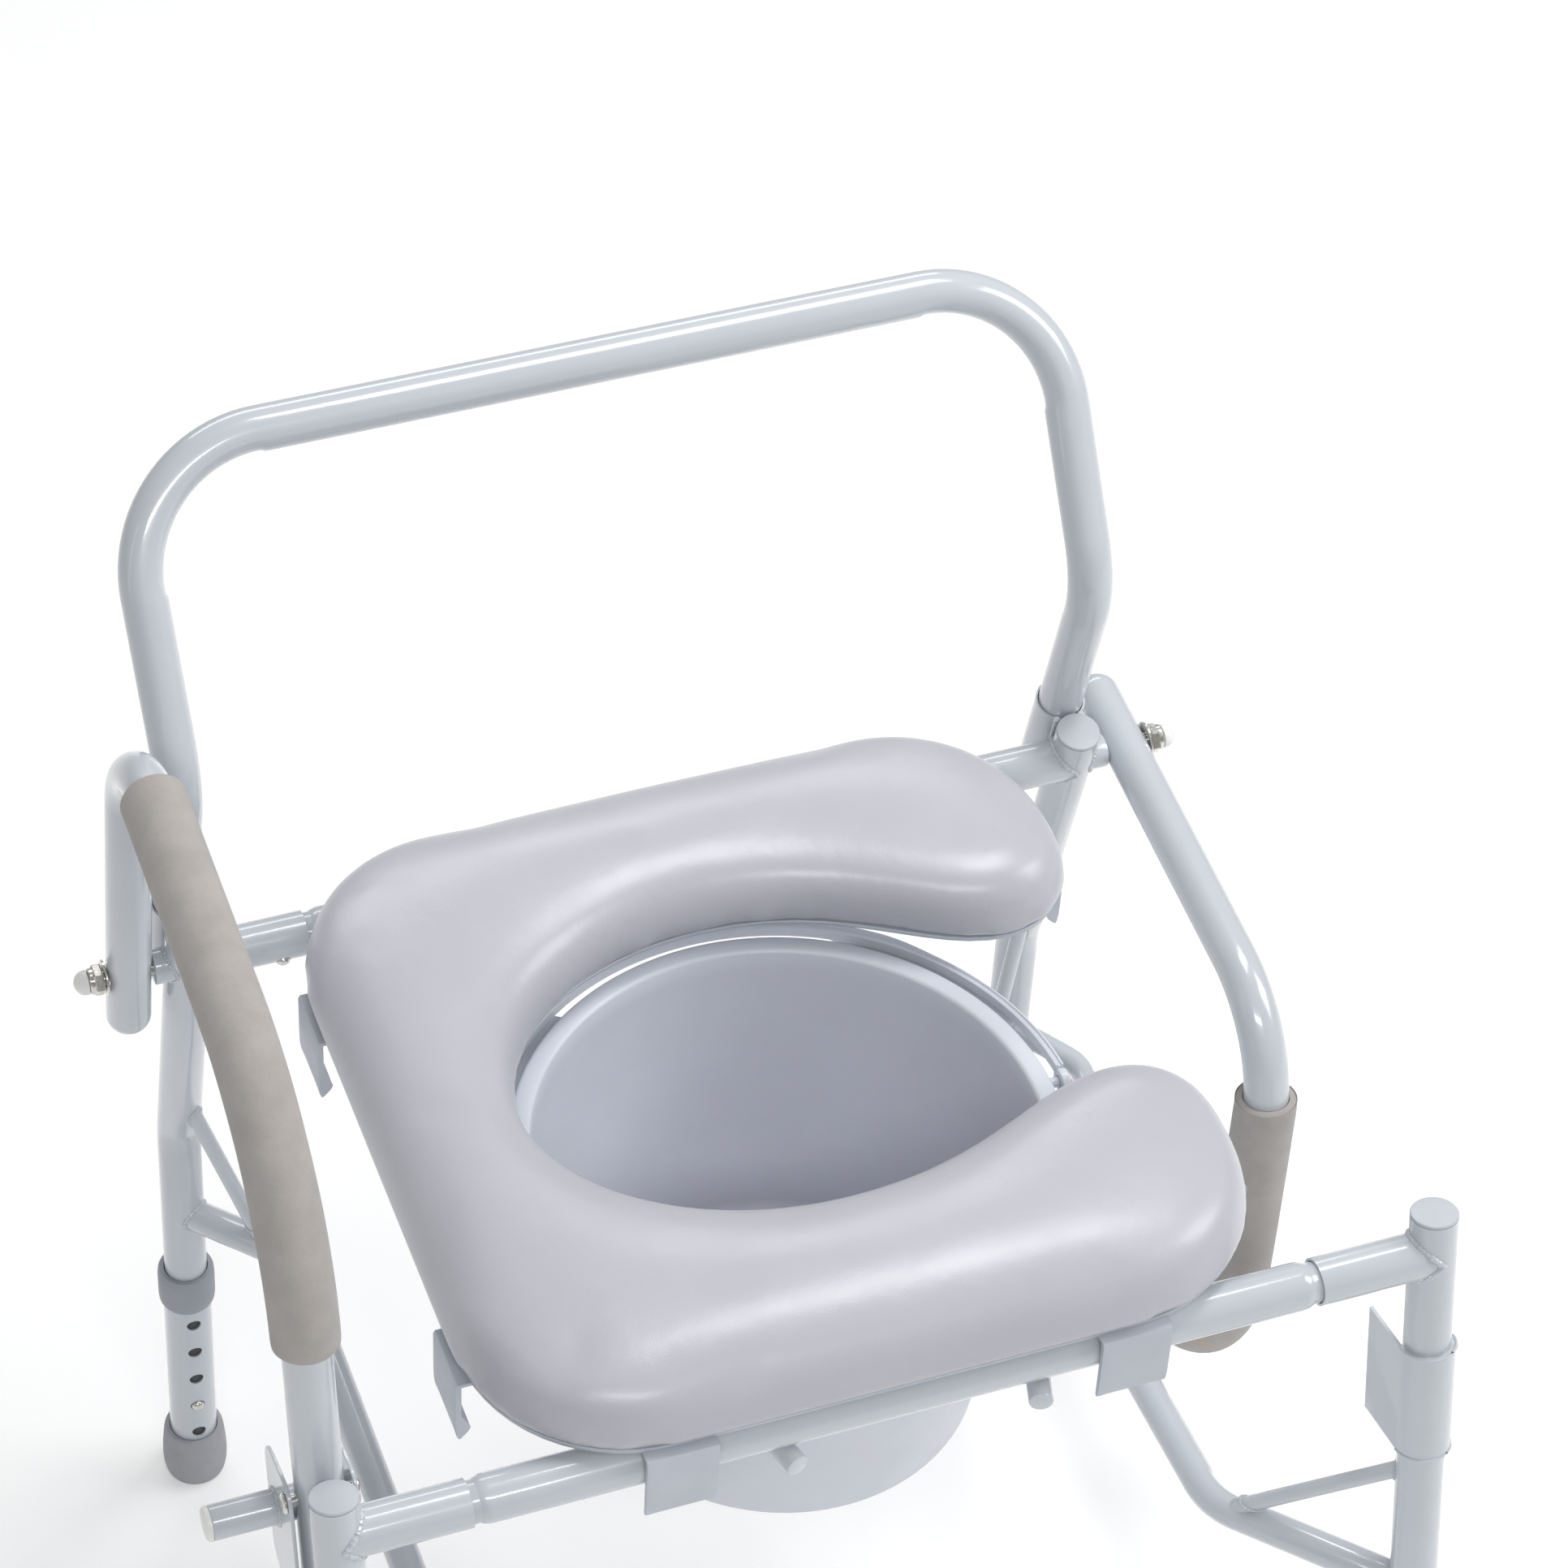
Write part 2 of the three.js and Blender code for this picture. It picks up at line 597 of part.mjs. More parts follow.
function buildSeatBase() {
  const sheet = new THREE.ExtrudeGeometry(seatShape(-1), {
    depth: SEAT.sheet,
    bevelEnabled: false,
    curveSegments: 5,
  }).translate(0, 0, SEAT.base);
  const clips = [];
  for (let turn = 0; turn < 4; turn++) {
    for (const x of [-CLIP.offset, CLIP.offset]) {
      clips.push(buildClip(x, turn % 2 === 1).rotateZ((turn * Math.PI) / 2));
    }
  }
  return toGeometry(join(sheet, ...clips));
}

function buildSeatPad() {
  const bevel = 12;
  const low = SEAT.base + SEAT.sheet + 0.5;
  return new THREE.ExtrudeGeometry(seatShape(bevel), {
    depth: SEAT.top - low - 2 * bevel,
    bevelThickness: bevel,
    bevelSize: bevel,
    bevelSegments: 2,
    curveSegments: 5,
  }).translate(0, 0, low + bevel);
}

function buildPail() {
  const { top, rimR, mouthR, baseR, bottom, wall } = PAIL;
  const shell = turned(
    [
      [0, bottom],
      [baseR - 6, bottom],
      [baseR, bottom + 6],
      [mouthR, top - 14],
      [mouthR, top - 5],
      [rimR, top - 5],
      [rimR, top - 1.5],
      [rimR - 3, top],
      [mouthR - wall, top],
      [baseR - wall, bottom + 7],
      [baseR - wall - 6, bottom + wall],
      [0, bottom + wall],
    ],
    28,
  );
  const ear = (s) => straight(v3(s * (mouthR - 1), 0, -8), v3(s * (BAIL_R + 5), 0, -8), 3, 10);
  const lugs = [LUG.angle, 180 - LUG.angle, 180 + LUG.angle, -LUG.angle];
  const body = lugs.reduce((b, degrees) => b.add(solid(buildLug(degrees))), solid(shell));
  return toGeometry(body.add(solid(ear(1))).add(solid(ear(-1))));
}

// Shelf on the pail rim that rests on a rod.
function buildLug(degrees) {
  const half = THREE.MathUtils.degToRad(LUG.half);
  const shape = new THREE.Shape();
  shape.absarc(0, 0, LUG.r, -half, half, false);
  shape.absarc(0, 0, PAIL.mouthR - 1, half * 1.25, -half * 1.25, true);
  const shelf = new THREE.ExtrudeGeometry(shape, {
    depth: LUG.high - LUG.low,
    bevelEnabled: false,
    curveSegments: 3,
  });
  return shelf.rotateZ(THREE.MathUtils.degToRad(degrees)).translate(0, 0, LUG.low);
}

// Carrying bail, folded back over the rim: an eye on each ear and a flat half hoop.
function buildBail() {
  const eye = (s) =>
    ring(7, 3 + GAP, 0, 5, 14).rotateY(Math.PI / 2).translate(s > 0 ? BAIL_R - 3 : -BAIL_R - 2, 0, -8);
  const hoop = new THREE.Shape();
  hoop.absarc(0, 0, BAIL_R + 2, 0.03, Math.PI - 0.03, false);
  hoop.absarc(0, 0, BAIL_R - 3, Math.PI - 0.03, 0.03, true);
  const band = new THREE.ExtrudeGeometry(hoop, { depth: 7, bevelEnabled: false, curveSegments: 12 });
  return toGeometry(join(band.translate(0, 0, -7), eye(1), eye(-1)));
}

// ---- Assembly ----
const chair = new THREE.Group();
chair.name = "commode_chair";

function place(parent, name, geometry, material, at = v3(0, 0, 0), axis) {
  const mesh = new THREE.Mesh(geometry, material);
  mesh.name = name;
  mesh.position.copy(at);
  if (axis) mesh.quaternion.copy(uprightTo(axis));
  parent.add(mesh);
  return mesh;
}

function addLeg(parent, name, foot, axis) {
  place(parent, `leg_extension_${name}`, buildSleeve(), POWDER, foot, axis);
  place(parent, `leg_collar_${name}`, buildCollar(), COLLAR_PLASTIC, foot, axis);
  place(parent, `leg_tip_${name}`, buildTip(foot, axis), RUBBER);
  const at = onLeg(foot, axis, BUTTON_HEIGHT);
  place(parent, `leg_button_${name}`, buildButton(LEG.sleeveR), NICKEL, at, axis);
}

function addArm(parent, side, angle) {
  const arm = new THREE.Group();
  arm.position.copy(pivot);
  arm.rotation.x = angle;
  parent.add(arm);
  place(arm, `arm_${side}`, buildArm(), POWDER);
  place(arm, `arm_grip_${side}`, buildGrip(), FOAM);
  place(arm, `latch_${side}`, buildLatch(), POWDER);
  place(arm, `latch_rivet_${side}`, buildRivet(), NICKEL);
  place(arm, `latch_plug_${side}`, buildHandlePlug(), WHITE);
}

function addSide(side, mirror, armAngle) {
  const frame = new THREE.Group();
  frame.scale.x = mirror;
  chair.add(frame);
  place(frame, `front_post_${side}`, buildFrontPost(), POWDER);
  place(frame, `rear_post_${side}`, buildRearPost(), POWDER);
  place(frame, `side_brace_${side}`, buildSideBrace(), POWDER);
  place(frame, `front_cap_${side}`, buildCap(), POWDER, frontAt(CAP_Z), frontAxis);
  place(frame, `rear_cap_${side}`, buildCap(), POWDER, rearAt(CAP_Z), rearUpper);
  addLeg(frame, `front_${side}`, frontFoot, frontAxis);
  addLeg(frame, `rear_${side}`, rearFoot, rearAxis);
  addArm(frame, side, armAngle);
  place(frame, `pivot_bolt_${side}`, buildBolt(), NICKEL, pivot);
  place(frame, `pivot_washer_${side}`, buildWasher(), NICKEL, pivot);
  place(frame, `pivot_nut_${side}`, buildNut(), NICKEL, pivot);
  place(frame, `pivot_cap_${side}`, buildNutCap(), WHITE, pivot);

  const inStub = NECK_LENGTH / 2 - STUB_LENGTH;
  const crossbarButtons = { front: v3(FRONT_X + inStub, 0, 0), rear: v3(REAR_X + inStub, DEPTH, 0) };
  for (const [end, at] of Object.entries(crossbarButtons)) {
    const way = buttonWay(at.y);
    const button = place(frame, `crossbar_button_${end}_${side}`, buildButton(TUBE_R), NICKEL, at);
    button.rotation.x = Math.atan2(-way.z, -way.y);
  }
  const back = place(frame, `backrest_button_${side}`, buildButton(SOCKET_R), NICKEL, socketAt(0));
  back.rotation.z = Math.PI;
}

addSide("left", -1, 0);
addSide("right", 1, ARM_DROP);
place(chair, "front_crossbar", buildCrossbar(FRONT_X, 0), POWDER);
place(chair, "rear_crossbar", buildCrossbar(REAR_X, DEPTH), POWDER, v3(0, DEPTH, 0));
place(chair, "backrest", buildBackrest(), POWDER);
place(chair, "pail_rod_left", buildPailRod(), POWDER, v3(PAIL.x, 0, 0)).scale.x = -1;
place(chair, "pail_rod_right", buildPailRod(), POWDER, v3(PAIL.x, 0, 0));

const seatCentre = v3(0, DEPTH / 2, 0);
place(chair, "seat_base", buildSeatBase(), PLASTIC, seatCentre);
place(chair, "seat_pad", buildSeatPad(), VINYL, seatCentre);
const pailCentre = v3(PAIL.x, PAIL.y, 0);
place(chair, "pail", buildPail(), PLASTIC, pailCentre);
place(chair, "pail_bail", buildBail(), PLASTIC, pailCentre);

// Stand the chair on z = 0 with its outer box centred on x = 0, y = 0.
const box = new THREE.Box3().setFromObject(chair, true);
const centre = box.getCenter(new THREE.Vector3());
chair.position.set(-centre.x, -centre.y, -box.min.z);

export default chair;
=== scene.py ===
# Commode chair: looks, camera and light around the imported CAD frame.
# The layout constants repeat the CAD source's, in millimetres from the middle of the front crossbar.
import math

import bmesh
import bpy
from mathutils import Matrix, Vector, noise


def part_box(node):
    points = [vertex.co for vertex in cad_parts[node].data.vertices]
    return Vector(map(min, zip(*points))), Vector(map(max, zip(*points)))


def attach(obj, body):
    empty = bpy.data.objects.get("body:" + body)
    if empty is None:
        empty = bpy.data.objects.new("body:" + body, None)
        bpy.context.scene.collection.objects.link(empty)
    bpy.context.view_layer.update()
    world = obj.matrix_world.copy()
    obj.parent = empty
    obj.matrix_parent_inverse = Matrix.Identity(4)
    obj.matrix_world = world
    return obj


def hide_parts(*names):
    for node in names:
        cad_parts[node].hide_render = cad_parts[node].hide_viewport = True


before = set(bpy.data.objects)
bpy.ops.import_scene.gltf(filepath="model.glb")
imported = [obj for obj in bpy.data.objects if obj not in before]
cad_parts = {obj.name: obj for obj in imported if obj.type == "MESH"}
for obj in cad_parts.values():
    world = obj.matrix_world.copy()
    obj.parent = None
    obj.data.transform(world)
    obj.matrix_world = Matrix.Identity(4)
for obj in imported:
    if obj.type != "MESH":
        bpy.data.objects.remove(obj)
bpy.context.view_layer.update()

MM = 0.001
TAU = 2 * math.pi
low_corner, high_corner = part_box("front_crossbar")
ORIGIN = (low_corner + high_corner) / 2 / MM

# ---- Layout, as in the CAD source ----
TUBE_R, TUBE_BORE = 12.7, 11.2
FLOOR = -497
FRONT_X, REAR_X, DEPTH = 296, 263, 400
FRONT_LEAN, REAR_LEAN = 0.179, -0.241
REAR_BEND_Z, REAR_FOOT_Y = -185, 450
CAP_Z, POST_END = 24, 55
STUB_LENGTH = 67
NECK_R, NECK_LENGTH, NECK_SHOWN = 11, 30, 4
SOCKET_R, SOCKET_LOW, SOCKET_HIGH = 14.3, -26, 27
BRACE_R, BRACE_X, STRUT_R, ROD_R = 9.5, 215, 4.6, 6.35
BRACKET_LOW, BRACKET_HIGH, BRACKET_REACH, BRACKET_SHEET, BRACKET_INSIDE = -128, -60, 36, 2, 13.3
ARM_TAIL, ARM_REAR, ARM_FRONT, ARM_LEG_END = (7, -38), (-37, 213.5), (-333.5, 198), -118
ARM_LEG_BEHIND, ARM_REAR_RADIUS, ARM_FRONT_RADIUS = 30, 66, 130
ARM_DROP = math.radians(87.3)
GRIP_R, GRIP_WRAP, GRIP_LEG = 17.4, math.radians(8), 92
BOSS_R, BOLT_R = 10, 5
SLEEVE_R, SLEEVE_LOW, SLEEVE_HIGH = 14.3, 16, 182
HOLE_PITCH, BUTTON_HEIGHT, BUTTON_R = 25.4, 73, 3.8
SEAT_HALF, SEAT_CORNER, SEAT_OPENING, SEAT_GAP, SEAT_LOBE = 213, 88, 103, 61, 45
SEAT_BASE, SEAT_SHEET, SEAT_TOP = 14, 3, 58
SEAT_BACK_RELIEF = 12  # the opening's rear edge lies this much further back than the CAD's
CLIP_OFFSET, CLIP_WIDTH, CLIP_REACH, CLIP_SHEET = 122, 38, 13.3, 3
PAIL_X, PAIL_Y, PAIL_MOUTH, PAIL_BASE, PAIL_DEEP = 6, 176, 139, 111, -180
LUG_R, LUG_LOW, LUG_HIGH, LUG_ANGLE, LUG_HALF = 164, -12.3, -8.5, 37, 18
BAIL_R = 158
LATCH_RIVET, LATCH_HANDLE, LATCH_REAR, LATCH_FRONT = 22, 23.4, 38, -9
LATCH_TOP, LATCH_LOW, LATCH_INNER_LOW, LATCH_SHEET, CHEEK_X = 34, -48, -18, 2, 15.9
HANDLE_R, HANDLE_OUT, HANDLE_IN, RIVET_R = 9.2, 52, -24, 3

# ---- Details that only the looks have, in millimetres ----
PRESS_DEPTH, PRESS_START = 1.1, 0.35  # flattening on the inside of a bend
WELD_RIPPLE, WELD_POINTS = 0.42, 96
# The sheet between sleeve and post is near-black: painted shade that makes the leg holes read dark.
SLEEVE_FIT, HOLE_SHADE_R, HOLE_SHADE_BORE = 0.45, 13.1, 12.78
HOLE_EASE, DRILL_DEPTH = 0.5, 40
PAIL_SKIN, PAIL_FLOOR, FLOOR_RINGS = 2.4, 3.6, (80, 56, 30)

# ---- Cushion making ----
PAD_EDGE, PAD_TURN = 28, 9
VOXEL = 5 * MM
PAD_SWELL, PAD_PRESSURE, PAD_STIFFNESS, PAD_FRAMES = 5 * MM, 4, 12, 20
SMOOTH_FACTOR, SMOOTH_BEFORE, SMOOTH_AFTER = 0.5, 8, 14

# ---- Camera ----
CAMERA_AZIMUTH, CAMERA_ELEVATION, CAMERA_ROLL = (math.radians(a) for a in (18.613, 40.477, 0.557))
CAMERA_PLACE = (-691.97, -1451.76, 1962.92)
CAMERA_LENS, CAMERA_SENSOR, CAMERA_SHIFT = 113.40, 36, (0.16356, -0.19384)

SIDES = {"left": -1, "right": 1}


def vec(x, y, z):
    return Vector((x, y, z))


def at(point):
    """A layout point in millimetres as a place in the frame, in metres."""
    return (ORIGIN + point) * MM


def front_at(z, s=1):
    return vec(s * FRONT_X, FRONT_LEAN * z, z)


def rear_at(z, s=1):
    return vec(s * REAR_X, DEPTH + REAR_LEAN * z, z)


FRONT_AXIS = (front_at(0) - front_at(FLOOR)).normalized()
REAR_UPPER = (rear_at(1) - rear_at(0)).normalized()


def front_foot(s):
    return front_at(FLOOR, s)


def rear_foot(s):
    return vec(s * REAR_X, REAR_FOOT_Y, FLOOR)


REAR_AXIS = (rear_at(REAR_BEND_Z) - rear_foot(1)).normalized()


def socket_at(z, s=1):
    return rear_at(z, s) + vec(0, (TUBE_R + SOCKET_R - 0.5) / REAR_UPPER.z, 0)


# ---- Procedural materials ----
class Finish:
    """A material on a Principled shader, with nodes that vary its colour, roughness and bump."""

    def __init__(self, name, color, roughness, **sockets):
        self.name, self.material = name, bpy.data.materials.new(name)
        self.material.use_nodes = True
        self.tree = self.material.node_tree
        self.shader = self.tree.nodes["Principled BSDF"]
        self.color = color
        self.shader.inputs["Base Color"].default_value = (*color, 1)
        self.shader.inputs["Roughness"].default_value = roughness
        for socket, value in sockets.items():
            self.shader.inputs[socket.replace("_", " ")].default_value = value
        self.place = self.node("ShaderNodeTexCoord").outputs["Object"]
        self.height = None

    def node(self, kind, **settings):
        made = self.tree.nodes.new(kind)
        for name, value in settings.items():
            setattr(made, name, value)
        return made

    def link(self, output, socket):
        self.tree.links.new(output, socket)

    def noise(self, scale, detail=4, roughness=0.55, stretch=None):
        made = self.node("ShaderNodeTexNoise")
        made.inputs["Scale"].default_value = scale
        made.inputs["Detail"].default_value = detail
        made.inputs["Roughness"].default_value = roughness
        source = self.place
        if stretch:
            mapping = self.node("ShaderNodeMapping")
            mapping.inputs["Scale"].default_value = stretch
            self.link(self.place, mapping.inputs["Vector"])
            source = mapping.outputs["Vector"]
        self.link(source, made.inputs["Vector"])
        return made.outputs["Fac"]

    def ramp(self, factor, stops):
        made = self.node("ShaderNodeValToRGB")
        elements = made.color_ramp.elements
        while len(elements) < len(stops):
            elements.new(0.5)
        for element, (position, value) in zip(elements, stops):
            element.position = position
            element.color = (*value, 1) if isinstance(value, tuple) else (value, value, value, 1)
        self.link(factor, made.inputs["Fac"])
        return made.outputs["Color"]

    def mottle(self, scale, amount, detail=4):
        """Colour drifts a little round its middle."""
        dark = tuple(c * (1 - amount) for c in self.color)
        light = tuple(min(1, c * (1 + amount)) for c in self.color)
        color = self.ramp(self.noise(scale, detail), [(0.3, dark), (0.7, light)])
        self.link(color, self.shader.inputs["Base Color"])
        self.tint = color
        return self

    def blotch(self, factor, color, low, high):
        """A second colour where the factor passes from low to high."""
        mix = self.node("ShaderNodeMix", data_type="RGBA")
        mask = self.ramp(factor, [(low, 0.0), (high, 1.0)])
        self.link(mask, mix.inputs[0])
        self.link(self.tint, mix.inputs[6])
        mix.inputs[7].default_value = (*color, 1)
        self.link(mix.outputs[2], self.shader.inputs["Base Color"])
        self.tint = mix.outputs[2]
        return self

    def rough(self, scale, low, high, stretch=None):
        value = self.ramp(self.noise(scale, 3, stretch=stretch), [(0.3, low), (0.7, high)])
        self.link(value, self.shader.inputs["Roughness"])
        return self

    def bump(self, factor, strength, distance):
        made = self.node("ShaderNodeBump")
        made.inputs["Strength"].default_value = strength
        made.inputs["Distance"].default_value = distance
        self.link(factor, made.inputs["Height"])
        if self.height:
            self.link(self.height, made.inputs["Normal"])
        self.height = made.outputs["Normal"]
        self.link(self.height, self.shader.inputs["Normal"])
        return self

    def voronoi(self, scale):
        made = self.node("ShaderNodeTexVoronoi")
        made.inputs["Scale"].default_value = scale
        self.link(self.place, made.inputs["Vector"])
        return made.outputs["Distance"]


def make_finishes():
    powder = Finish("powder_coat", (0.515, 0.547, 0.584), 0.22, Coat_Weight=0.7, Coat_Roughness=0.06)
    powder.mottle(14, 0.02).rough(60, 0.21, 0.26).bump(powder.noise(900, 3), 0.05, 0.0002)

    coat = {"Sheen_Weight": 0.12, "Coat_Weight": 0.1, "Coat_Roughness": 0.3}
    vinyl = Finish("vinyl", (0.462, 0.464, 0.507), 0.3, **coat)
    vinyl.mottle(9, 0.03).rough(25, 0.27, 0.35)
    vinyl.bump(vinyl.voronoi(1100), 0.1, 0.0003).bump(vinyl.noise(28, 3), 0.16, 0.003)

    pail = Finish("pail_plastic", (0.60, 0.63, 0.69), 0.28, Subsurface_Weight=0.08, Subsurface_Scale=0.01)
    pail.mottle(7, 0.04).rough(35, 0.28, 0.42)
    pail.bump(pail.noise(260, 4), 0.1, 0.0005).bump(pail.noise(40, 2, stretch=(1, 1, 0.15)), 0.06, 0.001)

    seat = Finish("seat_plastic", (0.49, 0.52, 0.575), 0.4)
    seat.mottle(20, 0.05).rough(50, 0.36, 0.52).bump(seat.noise(420, 4), 0.16, 0.0005)

    foam = Finish("foam", (0.385, 0.36, 0.342), 0.95, Specular_IOR_Level=0.25, Sheen_Weight=0.25)
    foam.mottle(55, 0.07, 6)
    foam.blotch(foam.noise(13, 2, 0.4), (0.47, 0.36, 0.22), 0.62, 0.72)
    foam.blotch(foam.noise(160, 6, 0.7), (0.29, 0.27, 0.25), 0.66, 0.78)
    foam.bump(foam.noise(1400, 5, 0.7), 0.55, 0.0006).bump(foam.noise(240, 3), 0.25, 0.0010)

    rubber = Finish("rubber", (0.37, 0.37, 0.395), 0.72, Specular_IOR_Level=0.35)
    rubber.mottle(45, 0.08, 6).rough(80, 0.62, 0.82).bump(rubber.noise(800, 5, 0.65), 0.3, 0.0005)

    collar = Finish("collar_plastic", (0.30, 0.322, 0.355), 0.5)
    collar.mottle(40, 0.05).rough(70, 0.42, 0.58).bump(collar.noise(600, 4), 0.2, 0.0004)

    cap = Finish("cap_plastic", (0.49, 0.52, 0.56), 0.4)
    cap.mottle(50, 0.04).rough(90, 0.34, 0.48).bump(cap.noise(500, 3), 0.15, 0.0004)

    nickel = Finish("nickel", (0.68, 0.66, 0.62), 0.2, Metallic=1)
    nickel.mottle(220, 0.12).rough(300, 0.14, 0.32).bump(nickel.noise(900, 3), 0.12, 0.0002)

    nylon = Finish("nylon", (0.80, 0.80, 0.775), 0.34, Subsurface_Weight=0.2, Subsurface_Scale=0.004)
    nylon.mottle(120, 0.04).rough(200, 0.28, 0.42).bump(nylon.noise(700, 3), 0.1, 0.0003)

    # Near-black finish for the sheet in the leg sleeves: painted shade behind the holes.
    painted_hole_shade = Finish("painted_hole_shade", (0.045, 0.047, 0.05), 0.6)
    painted_hole_shade.mottle(60, 0.1).rough(90, 0.5, 0.7).bump(painted_hole_shade.noise(500, 3), 0.1, 0.0003)

    made = (powder, vinyl, pail, seat, foam, rubber, collar, cap, nickel, nylon, painted_hole_shade)
    return {f.name: f.material for f in made}


FINISHES = make_finishes()


# ---- Paths and shapes, in layout millimetres ----
class Station:
    """A place on a path: where, which way it runs, and towards which side it bends."""

    def __init__(self, point, tangent, inward=None):
        self.point, self.tangent, self.inward = point, tangent, inward


def bent(corners, radii=(), step=math.radians(4), lead=3):
    """Stations along straight runs joined by arcs, with one a short lead before and after each arc."""
    stations = []
    for i, corner in enumerate(corners):
        if i == 0 or i == len(corners) - 1:
            other = corners[1] if i == 0 else corners[-2]
            tangent = (other - corner if i == 0 else corner - other).normalized()
            stations.append(Station(corner, tangent))
            continue
        radius = radii[i - 1]
        into = (corner - corners[i - 1]).normalized()
        out = (corners[i + 1] - corner).normalized()
        turn = into.angle(out)
        setback = radius * math.tan(turn / 2)
        start = corner - into * setback
        end = corner + out * setback
        side = (out - into * out.dot(into)).normalized()
        if lead:
            stations.append(Station(start - into * lead, into))
        count = max(2, math.ceil(turn / step))
        for k in range(count + 1):
            a = turn * k / count
            point = start + into * (radius * math.sin(a)) + side * (radius * (1 - math.cos(a)))
            tangent = into * math.cos(a) + side * math.sin(a)
            inward = side * math.cos(a) - into * math.sin(a)
            stations.append(Station(point, tangent, inward))
        if lead:
            stations.append(Station(end + out * lead, out))
    return stations


def frames(stations):
    """Each station's two cross axes, carried along without twist."""
    first = stations[0].tangent
    across = first.orthogonal().normalized() if abs(first.x) > 0.9 else vec(1, 0, 0)
    across = (across - first * across.dot(first)).normalized()
    made = []
    for i, station in enumerate(stations):
        if i:
            across = stations[i - 1].tangent.rotation_difference(station.tangent) @ across
        made.append((across.copy(), station.tangent.cross(across)))
    return made


class Shape:
    """A mesh under construction, in layout millimetres."""

    def __init__(self):
        self.bm = bmesh.new()

    def loops(self, loops, closed=False):
        """Skins a list of point rings. closed joins the last ring to the first."""
        rows = [[self.bm.verts.new(p) for p in loop] for loop in loops]
        count = len(rows[0])
        pairs = list(zip(rows, rows[1:]))
        if closed:
            pairs.append((rows[-1], rows[0]))
        made = []
        for a, b in pairs:
            for i in range(count):
                j = (i + 1) % count
                made.append(self.bm.faces.new((a[i], a[j], b[j], b[i])))
        if not closed:
            made += [self.bm.faces.new(row) for row in (rows[0], rows[-1])]
        bmesh.ops.recalc_face_normals(self.bm, faces=made)
        return self

    def ring(self, centre, u, v, radius, sides, press=None):
        points = []
        for i in range(sides):
            a = TAU * i / sides
            out = u * math.cos(a) + v * math.sin(a)
            r = radius
            if press is not None:
                r -= PRESS_DEPTH * max(0.0, out.dot(press) - PRESS_START) / (1 - PRESS_START)
            points.append(centre + out * r)
        return points

    def tube(self, stations, radius, bore=0.0, ends=("flat", "flat"), sides=40, pressed=False):
        """A round tube or bar along a path. Its ends are flat, round or, with a bore, open."""
        axes = frames(stations)
        inner = [self.ring(s.point, u, v, bore, sides) for s, (u, v) in zip(stations, axes)] if bore else []
        outer = []
        for index, (s, (u, v)) in enumerate(zip(stations, axes)):
            at_end = index in (0, len(stations) - 1)
            sign = -1 if index == 0 else 1
            style = ends[0] if index == 0 else ends[1]
            if not at_end:
                outer.append(self.ring(s.point, u, v, radius, sides, s.inward if pressed else None))
                continue
            rows = [(0, radius)]
            if style == "flat":
                edge = 0.7
                rows = [(-edge, radius), (-0.3 * edge, radius - 0.3 * edge), (0, radius - edge)]
            elif style == "round":
                steps = [math.pi / 2 * k / 9 for k in range(9)]
                rows = [(radius * math.sin(a), radius * math.cos(a)) for a in steps]
            if sign < 0:
                rows = rows[::-1]
            outer += [self.ring(s.point + s.tangent * (sign * z), u, v, r, sides) for z, r in rows]
        if bore and "round" not in ends:
            return self.loops(outer + inner[::-1], closed=True)
        return self.loops(outer)

    def bar(self, a, b, radius, **options):
        return self.tube(bent([a, b]), radius, **options)

    def lathe(self, profile, origin, axis, sides=48, turn=0.0, closed=False):
        """A turned piece: (radius, height) pairs along an axis."""
        u, v = cross_axes(axis)
        rows = [(r, z) for r, z in profile if r > 0]
        loops = []
        for r, z in rows:
            centre = origin + axis * z
            angles = [TAU * i / sides + turn for i in range(sides)]
            loops.append([centre + u * (r * math.cos(a)) + v * (r * math.sin(a)) for a in angles])
        return self.loops(loops, closed=closed)

    def slab(self, outline, place, thickness, edge=0.4):
        """A plate: a flat outline with softened edges, put in place by a matrix, thick along its Z."""
        middle = sum((Vector(p) for p in outline), Vector((0, 0))) / len(outline)
        loops = []
        for z, inset in ((0, edge), (edge, 0), (thickness - edge, 0), (thickness, edge)):
            points = [inset_point(outline, i, inset, middle) for i in range(len(outline))]
            loops.append([place @ vec(*point, z) for point in points])
        return self.loops(loops)

    def weld(self, main, main_axis, main_r, branch, direction, branch_r, bead=1.8):
        """A rippled bead where a branch tube meets a main tube."""
        u, v = cross_axes(direction)
        path = []
        for i in range(WELD_POINTS):
            a = TAU * i / WELD_POINTS
            start = branch + (u * math.cos(a) + v * math.sin(a)) * branch_r
            offset = (start - main) - main_axis * (start - main).dot(main_axis)
            flat = direction - main_axis * direction.dot(main_axis)
            qa, qb = flat.length_squared, 2 * flat.dot(offset)
            qc = offset.length_squared - main_r * main_r
            root = math.sqrt(max(0.0, qb * qb - 4 * qa * qc))
            path.append(start + direction * ((-qb + root) / (2 * qa)))
        return self.bead(path, bead, closed=True)

    def bead(self, path, radius, closed=False):
        """A lumpy weld bead along points."""
        loops, count = [], len(path)
        for i, point in enumerate(path):
            before = path[i - 1] if closed or i else point
            after = path[(i + 1) % count] if closed or i < count - 1 else point
            tangent = (after - before).normalized()
            u, v = cross_axes(tangent)
            size = radius * (0.92 + 0.18 * math.sin(i / WELD_RIPPLE) + 0.3 * noise.noise(point * 0.35))
            loops.append(self.ring(point, u, v, size, 10))
        return self.loops(loops, closed=closed)

